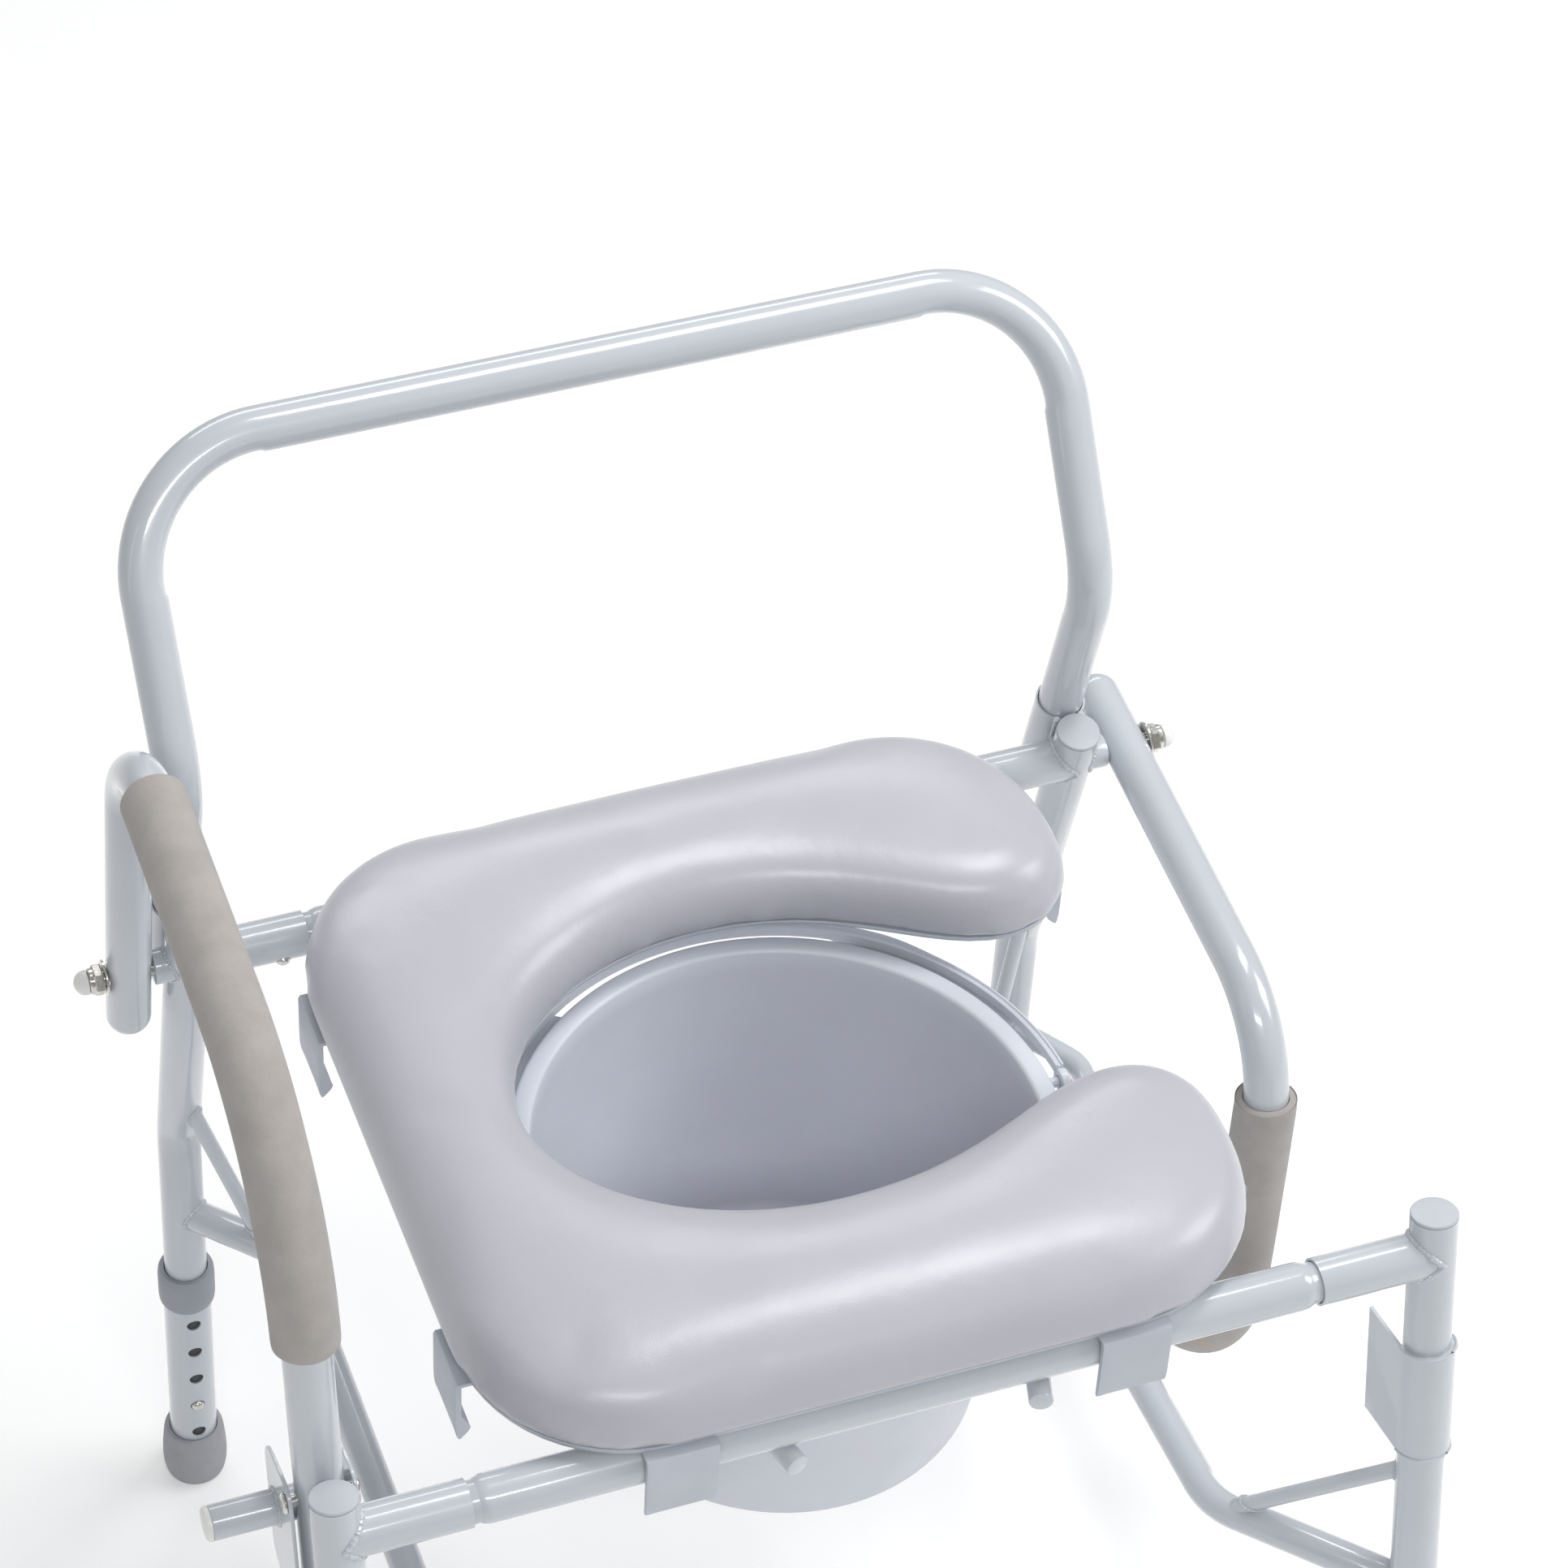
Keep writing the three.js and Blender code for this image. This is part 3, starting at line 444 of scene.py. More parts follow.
    def cut_below(self, z):
        """Trims the mesh flat at a height."""
        geometry = self.bm.verts[:] + self.bm.edges[:] + self.bm.faces[:]
        cut = bmesh.ops.bisect_plane(
            self.bm, geom=geometry, plane_co=vec(0, 0, z), plane_no=vec(0, 0, 1), clear_inner=True
        )
        edges = [e for e in cut["geom_cut"] if isinstance(e, bmesh.types.BMEdge)]
        bmesh.ops.contextual_create(self.bm, geom=edges)
        return self

    def to_object(self, name, finish, body, nodes, slot=None, sharp=34):
        """Ends the mesh as a named piece that rides on a body and stands for CAD nodes."""
        mesh = bpy.data.meshes.new(name)
        self.bm.to_mesh(mesh)
        self.bm.free()
        mesh.transform(Matrix.Translation(ORIGIN * MM) @ Matrix.Scale(MM, 4))
        mesh.polygons.foreach_set("use_smooth", [True] * len(mesh.polygons))
        mesh.set_sharp_from_angle(angle=math.radians(sharp))
        mesh.materials.append(FINISHES[finish])
        made = bpy.data.objects.new(name, mesh)
        bpy.context.scene.collection.objects.link(made)
        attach(made, body)
        if nodes:
            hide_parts(*nodes)
        return made


def cross_axes(axis):
    """Two directions square to an axis; the second looks forward for an upright axis."""
    side = vec(1, 0, 0) if abs(axis.x) < 0.9 else vec(0, 1, 0)
    u = (side - axis * side.dot(axis)).normalized()
    return u, axis.cross(u)


def inset_point(outline, i, inset, middle):
    """The i-th outline point moved in along its corner's bisector."""
    if not inset:
        return outline[i]
    here = Vector(outline[i])
    before, after = Vector(outline[i - 1]), Vector(outline[(i + 1) % len(outline)])
    a, b = (here - before).normalized(), (after - here).normalized()
    normal = Vector((-(a + b).y, (a + b).x)).normalized()
    if normal.dot(middle - here) < 0:
        normal = -normal
    return here + normal * inset


def rounded(points, radius, steps=5):
    """A closed outline with its corners rounded."""
    made, count = [], len(points)
    for i, point in enumerate(points):
        here = Vector(point)
        into = (here - Vector(points[i - 1])).normalized()
        out = (Vector(points[(i + 1) % count]) - here).normalized()
        start, end = here - into * radius, here + out * radius
        for k in range(steps + 1):
            t = k / steps
            made.append(tuple(start * (1 - t) ** 2 + here * (2 * t * (1 - t)) + end * t**2))
    return made


def drill(target, holes):
    """Cuts round holes in a piece: (centre, direction, radius, depth) in layout millimetres."""
    for centre, direction, radius, depth in holes:
        cutter_shape = Shape().bar(centre, centre + direction * depth, radius, sides=28)
        mesh = bpy.data.meshes.new("cutter")
        cutter_shape.bm.to_mesh(mesh)
        cutter_shape.bm.free()
        mesh.transform(Matrix.Translation(ORIGIN * MM) @ Matrix.Scale(MM, 4))
        cutter = bpy.data.objects.new("cutter", mesh)
        bpy.context.scene.collection.objects.link(cutter)
        modifier = target.modifiers.new("hole", "BOOLEAN")
        modifier.object, modifier.operation, modifier.solver = cutter, "DIFFERENCE", "EXACT"
        apply_modifiers(target)
        bpy.data.objects.remove(cutter)
    return target


def apply_modifiers(target):
    graph = bpy.context.evaluated_depsgraph_get()
    mesh = bpy.data.meshes.new_from_object(target.evaluated_get(graph))
    target.modifiers.clear()
    old, target.data = target.data, mesh
    bpy.data.meshes.remove(old)


# ---- Frame ----
def leg_point(foot, axis, height):
    return foot + axis * height


def button_way(y):
    """Way a crossbar's snap buttons point: down, and inwards to the other crossbar."""
    return vec(0, -0.8 if y else 0.8, -0.6)


def make_stub(side, s, end, post_at):
    """Crossbar socket with its snap-button hole."""
    base = post_at(0, s)
    inner = base - vec(s * STUB_LENGTH, 0, 0)
    stub = Shape().tube(bent([base, inner]), TUBE_R, bore=NECK_R + 0.4, ends=("open", "open"))
    node = f"{end}_post_{side}"
    piece = stub.to_object(f"crossbar_stub_{end}_{side}", "powder_coat", "root", [node])
    centre = inner + vec(s * NECK_LENGTH / 2, 0, 0)
    drill(piece, [(centre, button_way(base.y), BUTTON_R + HOLE_EASE, DRILL_DEPTH)])


def make_front_post(side, s):
    foot = front_foot(s)
    shape = Shape()
    run = bent([front_at(CAP_Z, s), leg_point(foot, FRONT_AXIS, POST_END)])
    shape.tube(run, TUBE_R, TUBE_BORE, ("open", "open"))
    inward = vec(-s, 0, 0)
    shape.weld(front_at(0, s), FRONT_AXIS, TUBE_R, front_at(0, s), inward, TUBE_R)
    u, v = vec(1, 0, 0), FRONT_AXIS.cross(vec(1, 0, 0))
    outside = BRACKET_INSIDE + BRACKET_SHEET
    arc = [math.pi * k / 16 for k in range(17)]
    outline = [(outside, BRACKET_REACH)]
    outline += [(outside * math.cos(a), -outside * math.sin(a)) for a in arc]
    outline += [(-outside, BRACKET_REACH), (-BRACKET_INSIDE, BRACKET_REACH), (-BRACKET_INSIDE, 4)]
    hug = TUBE_R - 0.1
    outline += [(-hug * math.cos(a), -hug * math.sin(a)) for a in arc]
    outline += [(BRACKET_INSIDE, 4), (BRACKET_INSIDE, BRACKET_REACH)]
    high, low = front_at(BRACKET_HIGH, s), front_at(BRACKET_LOW, s)
    shape.loops([[p + u * x + v * y for x, y in outline] for p in (low, high)])
    for end_point in (low, high):
        rim = [u * (outside * math.cos(a)) - v * (outside * math.sin(a)) for a in arc]
        shape.bead([end_point + offset for offset in rim], 0.9)
    shape.to_object(f"post_front_{side}", "powder_coat", "root", [f"front_post_{side}"])
    make_stub(side, s, "front", front_at)
    make_cap(f"front_cap_{side}", front_at(CAP_Z, s), FRONT_AXIS)


def make_rear_post(side, s):
    path = [rear_at(CAP_Z, s), rear_at(REAR_BEND_Z, s), leg_point(rear_foot(s), REAR_AXIS, POST_END)]
    shape = Shape().tube(bent(path, [90]), TUBE_R, TUBE_BORE, ("open", "open"), pressed=True)
    pivot_side = vec(s, 0, 0)
    shape.weld(rear_at(0, s), REAR_UPPER, TUBE_R, rear_at(0, s), -pivot_side, TUBE_R)
    shape.weld(rear_at(0, s), REAR_UPPER, TUBE_R, rear_at(0, s), pivot_side, BOSS_R, 1.3)
    boss_end = vec(s * (FRONT_X - TUBE_R - 0.5), DEPTH, 0)
    shape.bar(rear_at(0, s), boss_end, BOSS_R)
    for x in (-1, 1):
        gap = vec(x * 7.5, 13.4 / REAR_UPPER.z, 0)
        shape.bead([rear_at(SOCKET_LOW + 2 + 49 * k / 30, s) + gap for k in range(31)], 1.7)
    shape.to_object(f"post_rear_{side}", "powder_coat", "root", [f"rear_post_{side}"])
    make_stub(side, s, "rear", rear_at)
    run = bent([socket_at(SOCKET_LOW, s), socket_at(SOCKET_HIGH, s)])
    socket = Shape().tube(run, SOCKET_R, TUBE_R + SLEEVE_FIT, ("open", "open"))
    piece = socket.to_object(f"backrest_socket_{side}", "powder_coat", "root", [f"rear_post_{side}"])
    drill(piece, [(socket_at(0, s), vec(0, 1, 0), BUTTON_R + HOLE_EASE, DRILL_DEPTH)])
    make_cap(f"rear_cap_{side}", rear_at(CAP_Z, s), REAR_UPPER)


def make_cap(node, base, axis):
    profile = [(10.6, -9), (10.8, 0.2), (12.5, 0.25), (12.7, 0.6)]
    profile += [(12.65, 1.2), (12.2, 1.8), (11.4, 2.0), (4, 2.15)]
    Shape().lathe(profile, base, axis).to_object(f"{node}_look", "cap_plastic", "root", [node])


def make_side_brace(side, s):
    front, rear = front_at(-230, s), leg_point(rear_foot(s), REAR_AXIS, -FLOOR - 257)
    front_corner, rear_corner = vec(s * (BRACE_X + 3), 48, -236), vec(s * BRACE_X, 385, -247)
    run = bent([front, front_corner, rear_corner, rear], [42, 42])
    shape = Shape().tube(run, BRACE_R, pressed=True, sides=32)
    shape.weld(front, FRONT_AXIS, TUBE_R, front, (front_corner - front).normalized(), BRACE_R, 1.3)
    shape.weld(rear, REAR_AXIS, TUBE_R, rear, (rear_corner - rear).normalized(), BRACE_R, 1.3)
    struts = (
        (front_at(-143, s), vec(s * (BRACE_X + 10), 38, -231), FRONT_AXIS, front_corner - front),
        (rear_at(-140, s), vec(s * (BRACE_X + 13), 400, -243), REAR_UPPER, rear_corner - rear),
    )
    for post_end, brace_end, post_axis, brace_run in struts:
        run = (brace_end - post_end).normalized()
        shape.bar(post_end, brace_end, STRUT_R, sides=24)
        shape.weld(post_end, post_axis, TUBE_R, post_end, run, STRUT_R, 1.2)
        shape.weld(brace_end, brace_run.normalized(), BRACE_R, brace_end, -run, STRUT_R, 1.2)
    shape.to_object(f"brace_{side}", "powder_coat", "root", [f"side_brace_{side}"])


def make_crossbar(end, half_span, y):
    shoulder = half_span - STUB_LENGTH - NECK_SHOWN
    tip = shoulder + NECK_LENGTH
    half = [(TUBE_R, shoulder - 6), (12.5, shoulder - 4), (11.9, shoulder - 2), (11.3, shoulder - 0.6)]
    half += [(NECK_R, shoulder), (NECK_R, tip)]
    profile = [(r, -z) for r, z in reversed(half)] + half
    shape = Shape().lathe(profile, vec(0, y, 0), vec(1, 0, 0))
    shape.to_object(f"crossbar_{end}", "powder_coat", "root", [f"{end}_crossbar"], sharp=50)


def make_pail_rod(side, s):
    z = -TUBE_R - ROD_R - 0.3
    points = ((66, -15), (71, 2), (179, 189), (40, 398), (36, 412))
    corners = [vec(PAIL_X + s * x, y, z) for x, y in points]
    shape = Shape().tube(bent(corners, [20, 22, 20]), ROD_R, ends=("flat", "flat"), sides=28)
    shape.to_object(f"rod_{side}", "powder_coat", "root", [f"pail_rod_{side}"])


def make_backrest():
    half = [socket_at(SOCKET_LOW + 3), vec(REAR_X, socket_at(136).y, 136), vec(REAR_X + 1, 494, 286)]
    corners = half + [vec(-p.x, p.y, p.z) for p in reversed(half)]
    shape = Shape().tube(bent(corners, [60, 75, 75, 60]), TUBE_R, TUBE_BORE, ("open", "open"), pressed=True)
    shape.to_object("backrest_tube", "powder_coat", "backrest", ["backrest"])


# ---- Arms ----
def arm_leg(z):
    return (-DEPTH + FRONT_LEAN * z + ARM_LEG_BEHIND / FRONT_AXIS.z, z)


class ArmFrame:
    """Places points given from the pivot in the raised position."""

    def __init__(self, s, angle):
        self.turn = Matrix.Rotation(angle, 3, "X")
        self.pivot = vec(s * FRONT_X, DEPTH, 0)
        self.s = s
        self.latch_axis = self.turn @ FRONT_AXIS

    def point(self, y, z, x=0.0):
        return self.pivot + self.turn @ vec(self.s * x, y, z)

    def latch(self, x, y, z):
        """A point in the lever's frame: +Y behind the arm's leg, +Z up it."""
        y0, z0 = arm_leg(-25)
        back = FRONT_AXIS.cross(vec(1, 0, 0))
        return self.pivot + self.turn @ (vec(self.s * x, y0, z0) + back * y + FRONT_AXIS * z)


def make_arm(side, s, angle):
    place = ArmFrame(s, angle)
    tail, rear, front = place.point(*ARM_TAIL), place.point(*ARM_REAR), place.point(*ARM_FRONT)
    end = place.point(*arm_leg(ARM_LEG_END))
    shape = Shape().tube(
        bent([tail, rear, front, end], [ARM_REAR_RADIUS, ARM_FRONT_RADIUS]),
        TUBE_R,
        ends=("round", "flat"),
        pressed=True,
    )
    shape.to_object(f"arm_tube_{side}", "powder_coat", f"arm_{side}", [f"arm_{side}"])

    top = (front - rear).normalized()
    setback = ARM_REAR_RADIUS * math.tan((rear - tail).angle(top) / 2)
    wrap = ARM_REAR_RADIUS * math.tan(GRIP_WRAP / 2)
    corner = rear + top * (setback - wrap)
    start = corner - Matrix.Rotation(-GRIP_WRAP, 3, "X") @ top * (wrap + 0.5)
    grip_end = place.point(*arm_leg(GRIP_LEG))
    stations = bent([start, corner, front, grip_end], [ARM_REAR_RADIUS, ARM_FRONT_RADIUS], lead=0)
    grip = Shape()
    stations = fill_in(stations, 6)
    axes = frames(stations)
    length, run = len(stations) - 1, []
    for i, (station, (u, v)) in enumerate(zip(stations, axes)):
        edge = min(i, length - i)
        radius = GRIP_R - (1.5, 0.25)[edge] if edge < 2 else GRIP_R
        radius += 0.22 * noise.noise(station.point * 0.02)
        run.append(grip.ring(station.point, u, v, radius, 44))
    bore = [grip.ring(st.point, u, v, TUBE_R + 0.35, 44) for st, (u, v) in zip(stations, axes)]
    grip.loops(run + bore[::-1], closed=True)
    grip.to_object(f"foam_grip_{side}", "foam", f"arm_{side}", [f"arm_grip_{side}"], sharp=60)
    make_latch(side, place)


def fill_in(stations, spacing):
    """Adds stations so that no run is longer than the spacing. The first and last steps are short."""
    made = [stations[0]]
    for a, b in zip(stations, stations[1:]):
        gap = (b.point - a.point).length
        count = max(1, math.ceil(gap / spacing))
        for k in range(1, count):
            t = k / count
            made.append(Station(a.point.lerp(b.point, t), a.tangent.lerp(b.tangent, t).normalized()))
        made.append(b)
    first, last = made[0], made[-1]
    made.insert(1, Station(first.point + first.tangent * 1.6, first.tangent))
    made.insert(-1, Station(last.point - last.tangent * 1.6, last.tangent))
    return made


def make_latch(side, place):
    def outline(low):
        corners = [(LATCH_FRONT, low), (LATCH_REAR, low), (LATCH_REAR, LATCH_TOP), (LATCH_FRONT, LATCH_TOP)]
        return rounded(corners, 14)

    shape = Shape()
    for x, low in ((CHEEK_X, LATCH_LOW + 3), (-CHEEK_X - LATCH_SHEET, LATCH_INNER_LOW)):
        points = outline(low)
        loops = []
        middle = Vector(((LATCH_FRONT + LATCH_REAR) / 2, (low + LATCH_TOP) / 2))
        for depth, inset in ((0, 0.4), (0.4, 0), (LATCH_SHEET - 0.4, 0), (LATCH_SHEET, 0.4)):
            inner = [inset_point(points, i, inset, middle) for i in range(len(points))]
            loops.append([place.latch(x + depth, y, z) for y, z in inner])
        shape.loops(loops)
    inner_end, outer_end = (place.latch(x, LATCH_HANDLE, 0) for x in (HANDLE_IN, HANDLE_OUT))
    shape.tube(bent([inner_end, outer_end]), HANDLE_R, ends=("flat", "flat"), sides=36)
    out = (outer_end - inner_end).normalized()
    for x in (CHEEK_X + LATCH_SHEET, -CHEEK_X - LATCH_SHEET):
        centre = place.latch(x, LATCH_HANDLE, 0)
        u, v = cross_axes(out)
        shape.bead(shape.ring(centre, u, v, HANDLE_R + 0.3, 72), 1.2, closed=True)
    shape.to_object(f"latch_lever_{side}", "powder_coat", f"latch_{side}", [f"latch_{side}"])

    rivet = Shape()
    half = CHEEK_X + LATCH_SHEET + 0.3
    head = [(RIVET_R, half - 0.2), (RIVET_R + 2.5, half), (RIVET_R + 2.2, half + 0.9)]
    head += [(RIVET_R + 1, half + 1.8), (1.2, half + 2.0)]
    profile = [(r, -z) for r, z in reversed(head)] + head
    rivet.lathe(profile, place.latch(0, 0, LATCH_RIVET), out, 32)
    rivet.to_object(f"rivet_{side}", "nickel", f"latch_{side}", [f"latch_rivet_{side}"])

    plug = Shape()
    rim = HANDLE_R
    profile = [(rim - 2, -1), (rim, 0.3), (rim, 1.4), (rim - 0.5, 2.6), (rim - 1.8, 3.3), (3, 3.7)]
    plug.lathe(profile, outer_end, out, 40)
    plug.to_object(f"handle_plug_{side}", "nylon", f"latch_{side}", [f"latch_plug_{side}"])


# ---- Pivot hardware and snap buttons ----
def make_pivot(side, s):
    out, pivot = vec(s, 0, 0), vec(s * FRONT_X, DEPTH, 0)
    bolt_start = REAR_X + 8 - FRONT_X
    washer, nut = TUBE_R + 0.3, TUBE_R + 2.3
    bolt = Shape().bar(pivot + out * bolt_start, pivot + out * (nut + 7.4), BOLT_R - 0.1, sides=32)
    bolt.to_object(f"bolt_{side}", "nickel", "root", [f"pivot_bolt_{side}"])
    hole = BOLT_R + 0.3
    ring = [(hole, washer), (10, washer), (10.5, washer + 0.3), (10.5, washer + 1.1), (10, washer + 1.4)]
    ring.append((hole, washer + 1.4))
    Shape().lathe(ring, pivot, out, 40, closed=True).to_object(
        f"washer_{side}", "nickel", "root", [f"pivot_washer_{side}"]
    )
    hexagon = [(hole, nut), (8.2, nut), (9, nut + 0.9), (9, nut + 4.6), (8.0, nut + 5.5)]
    shape = Shape().lathe(hexagon + [(hole, nut + 5.5)], pivot, out, 6, closed=True)
    collar = [(hole, nut + 5), (7.4, nut + 5), (7.4, nut + 7.2), (6.8, nut + 7.9), (hole, nut + 7.9)]
    shape.lathe(collar, pivot, out, 40, closed=True)
    shape.to_object(f"nut_{side}", "nickel", "root", [f"pivot_nut_{side}"], sharp=25)
    base, r = nut + 8.3, 7
    dome = [(r - 0.4, base), (r, base + 0.4), (r, base + 1.2)]
    steps = (0.3, 0.6, 0.9, 1.15, 1.35, 1.48)
    dome += [(r * math.cos(a), base + 1.2 + (r - 0.4) * math.sin(a)) for a in steps]
    shape = Shape().lathe(dome, pivot, out, 40)
    shape.to_object(f"nut_cap_{side}", "nylon", "root", [f"pivot_cap_{side}"])


def make_button(name, body, centre, out, tube_r):
    tip = tube_r + 2.6
    profile = [(BUTTON_R, tube_r - 5.8), (BUTTON_R, tip - 2.7)]
    steps = (0.3, 0.6, 0.9, 1.15, 1.35, 1.5)
    profile += [(BUTTON_R * math.cos(a), tip - 2.7 + 2.7 * math.sin(a)) for a in steps]
    Shape().lathe(profile, centre, out, 32).to_object(f"{name}_look", "nickel", body, [name])


# ---- Legs ----
def make_leg(name, foot, axis):
    forward = -axis.cross(vec(1, 0, 0))
    body = f"leg_{name}"
    sleeve = Shape().tube(
        bent([leg_point(foot, axis, SLEEVE_LOW), leg_point(foot, axis, SLEEVE_HIGH)]),
        SLEEVE_R,
        TUBE_R + SLEEVE_FIT,
        ("open", "open"),
        sides=64,
    )
    piece = sleeve.to_object(f"leg_sleeve_{name}", "powder_coat", body, [f"leg_extension_{name}"])
    heights = [BUTTON_HEIGHT + i * HOLE_PITCH for i in range(-1, 4)]
    drill(piece, [(leg_point(foot, axis, h), forward, BUTTON_R + HOLE_EASE, DRILL_DEPTH) for h in heights])
    # A near-black sheet inside the sleeve, riding with the leg: painted shade that darkens the drilled
    # holes.
    ends = (leg_point(foot, axis, 44), leg_point(foot, axis, 157))
    painted_hole_shade = Shape().tube(bent(ends), HOLE_SHADE_R, HOLE_SHADE_BORE, ("open", "open"), sides=64)
    nodes = [f"leg_extension_{name}"]
    painted_hole_shade.to_object(f"leg_painted_hole_shade_{name}", "painted_hole_shade", body, nodes, slot="collar_plastic")
    collar = [(14.6, 162), (15.6, 162), (16.5, 163.5), (16.9, 166), (17, 170), (17, 184)]
    collar += [(16.7, 187.5), (15.6, 190), (13.2, 190), (13.2, 182.4), (14.6, 182.4)]
    Shape().lathe(collar, foot, axis, 56, closed=True).to_object(
        f"collar_{name}", "collar_plastic", body, [f"leg_collar_{name}"]
    )
    tip = [(17.2, -6), (17.6, 0), (18.6, 3), (19.4, 8), (19.7, 14), (19.5, 22), (18.9, 30)]
    tip += [(18.4, 35), (17.9, 38), (17.1, 39.6), (16.2, 40), (14.7, 40), (14.7, 12), (6, 12)]
    shape = Shape().lathe(tip, foot, axis, 56).cut_below(FLOOR)
    shape.to_object(f"tip_{name}", "rubber", body, [f"leg_tip_{name}"])
    button = leg_point(foot, axis, BUTTON_HEIGHT)
    make_button(f"leg_button_{name}", f"leg_button_{name}", button, forward, SLEEVE_R)


# ---- Pail ----
def make_pail():
    centre = vec(PAIL_X, PAIL_Y, 0)
    up = vec(0, 0, 1)
    deep = PAIL_DEEP
    foot = ((60, 1.2), (92, 1.2), (95, 0), (104, 0), (108, 1.5), (110.5, 5))
    profile = [(r, deep + z) for r, z in foot]
    flare, height = PAIL_MOUTH - PAIL_BASE, -22 - deep
    wall = [(PAIL_BASE + flare * t, deep + 8 + height * t) for t in (0, 0.33, 0.66, 1)]
    profile += wall + [(139.2, -8), (139.6, -5.6), (141, -4.8), (147.6, -4.8), (148.6, -4.4)]
    profile += [(149, -3.4), (148.9, -1.6), (148.2, -0.5), (146.8, 0), (139.5, 0), (138, -0.5), (137, -2)]
    profile += [(r - PAIL_SKIN, z) for r, z in reversed(wall)]
    profile += [(107, deep + 5.2), (103, deep + 3), (97, deep + 2.4), (93, deep + PAIL_FLOOR)]
    for ring in FLOOR_RINGS:
        ridge = ((2, 0), (1, 1), (-1, 1), (-2, 0))
        profile += [(ring + x, deep + PAIL_FLOOR + z) for x, z in ridge]
    profile.append((8, deep + PAIL_FLOOR))
    shape = Shape().lathe(profile, centre, up, 128)
    for angle in (LUG_ANGLE, 180 - LUG_ANGLE, 180 + LUG_ANGLE, -LUG_ANGLE):
        half = math.radians(LUG_HALF)
        middle = math.radians(angle)
        outer = [middle - half + 2 * half * k / 20 for k in range(21)]
        inner = [middle + 1.25 * half - 2.5 * half * k / 20 for k in range(21)]
        points = [(LUG_R * math.cos(a), LUG_R * math.sin(a)) for a in outer]
        points += [((PAIL_MOUTH - 1) * math.cos(a), (PAIL_MOUTH - 1) * math.sin(a)) for a in inner]
        place = Matrix.Translation(centre + up * LUG_LOW)
        shape.slab(points, place, LUG_HIGH - LUG_LOW, 0.9)
    for s in (-1, 1):
        out = vec(s, 0, 0)
        shape.bar(centre + out * 138 - up * 8, centre + out * 162.5 - up * 8, 2.9, sides=24)
    shape.to_object("pail_shell", "pail_plastic", "pail", ["pail"], sharp=40)


def make_bail():
    """Carrying handle: a channelled strap with a wider grip in the middle."""
    centre = vec(PAIL_X, PAIL_Y, 0)
    shape = Shape()
    loops, count = [], 96
    for k in range(count + 1):
        a = 0.03 + (math.pi - 0.06) * k / count
        out, up = vec(math.cos(a), math.sin(a), 0), vec(0, 0, 1)
        grip = smooth(0.62, 0.78, math.sin(a))
        inside, outside = BAIL_R - 2.8, BAIL_R + 1.8 + 2.0 * grip
        mid = (inside + outside) / 2
        rib = 0.35 * max(0.0, math.sin(a * 170)) * grip
        section = [(inside, -6.6), (inside, -0.6), (inside + 0.5, -0.2), (mid - 1.1, -0.2)]
        section += [(mid - 0.8, -1.3), (mid + 0.8, -1.3), (mid + 1.1, -0.2)]
        section += [(outside - 0.5, -0.2), (outside, -0.7)]
        section += [(outside + rib, -2.6), (outside + rib, -4.8), (outside, -6.6)]
        loops.append([centre + out * r + up * z for r, z in section])
    shape.loops(loops)
    for s in (-1, 1):
        out = vec(s, 0, 0)
        eye = [(3.3, 155.2), (6.4, 155.2), (7, 155.8), (7, 159.4), (6.4, 160), (3.3, 160)]
        shape.lathe(eye, centre - vec(0, 0, 8), out, 36, closed=True)
    shape.to_object("bail_strap", "pail_plastic", "bail", ["pail_bail"], sharp=40)


def smooth(low, high, x):
    t = max(0.0, min(1.0, (x - low) / (high - low)))
    return t * t * (3 - 2 * t)


# ---- Seat ----
def seat_outline(margin):
    """Horseshoe outline round the seat's middle, open towards +X, drawn in by a margin."""
    half, corner, lobe = SEAT_HALF - margin, SEAT_CORNER - margin, SEAT_LOBE - margin
    g, b, mid = SEAT_GAP + margin, SEAT_OPENING + margin, 5
    rear = b + SEAT_BACK_RELIEF
    points = []

    def arc(cx, cy, rx, ry, start, end, steps):
        for k in range(steps):
            a = start + (end - start) * k / steps
            points.append((cx + rx * math.cos(a), cy + ry * math.sin(a)))

    def line(x0, y0, x1, y1, steps):
        for k in range(steps):
            points.append((x0 + (x1 - x0) * k / steps, y0 + (y1 - y0) * k / steps))

    def bezier(p0, p1, p2, p3, steps):
        for k in range(steps):
            t = k / steps
            w = ((1 - t) ** 3, 3 * t * (1 - t) ** 2, 3 * t * t * (1 - t), t**3)
            points.append(tuple(sum(c * p[i] for c, p in zip(w, (p0, p1, p2, p3))) for i in (0, 1)))

    c = half - corner
    quarter = math.pi / 2
    line(half, g + lobe, half, c, 3)
    for n, (sx, sy) in enumerate(((1, 1), (-1, 1), (-1, -1), (1, -1))):
        arc(sx * c, sy * c, corner, corner, n * quarter, (n + 1) * quarter, 14)
        if n < 3:
            ends = (((c, half), (-c, half)), ((-half, c), (-half, -c)), ((-c, -half), (c, -half)))[n]
            line(*ends[0], *ends[1], 10)
    line(half, -c, half, -g - lobe, 3)
    arc(half - lobe, -g - lobe, lobe, lobe, 0, quarter, 12)
    bezier((half - lobe, -g), (120, -g), (90, -b), (mid, -b), 12)
    arc(mid, 0, 140 + margin, b, 3 * quarter, 2 * quarter, 18)
    arc(mid, 0, 140 + margin, rear, 2 * quarter, quarter, 18)
    bezier((mid, rear), (90, rear), (120, g), (half - lobe, g), 12)
    arc(half - lobe, g + lobe, lobe, lobe, 3 * quarter, 4 * quarter, 12)
    return points


SEAT_CENTRE = vec(0, DEPTH / 2, 0)


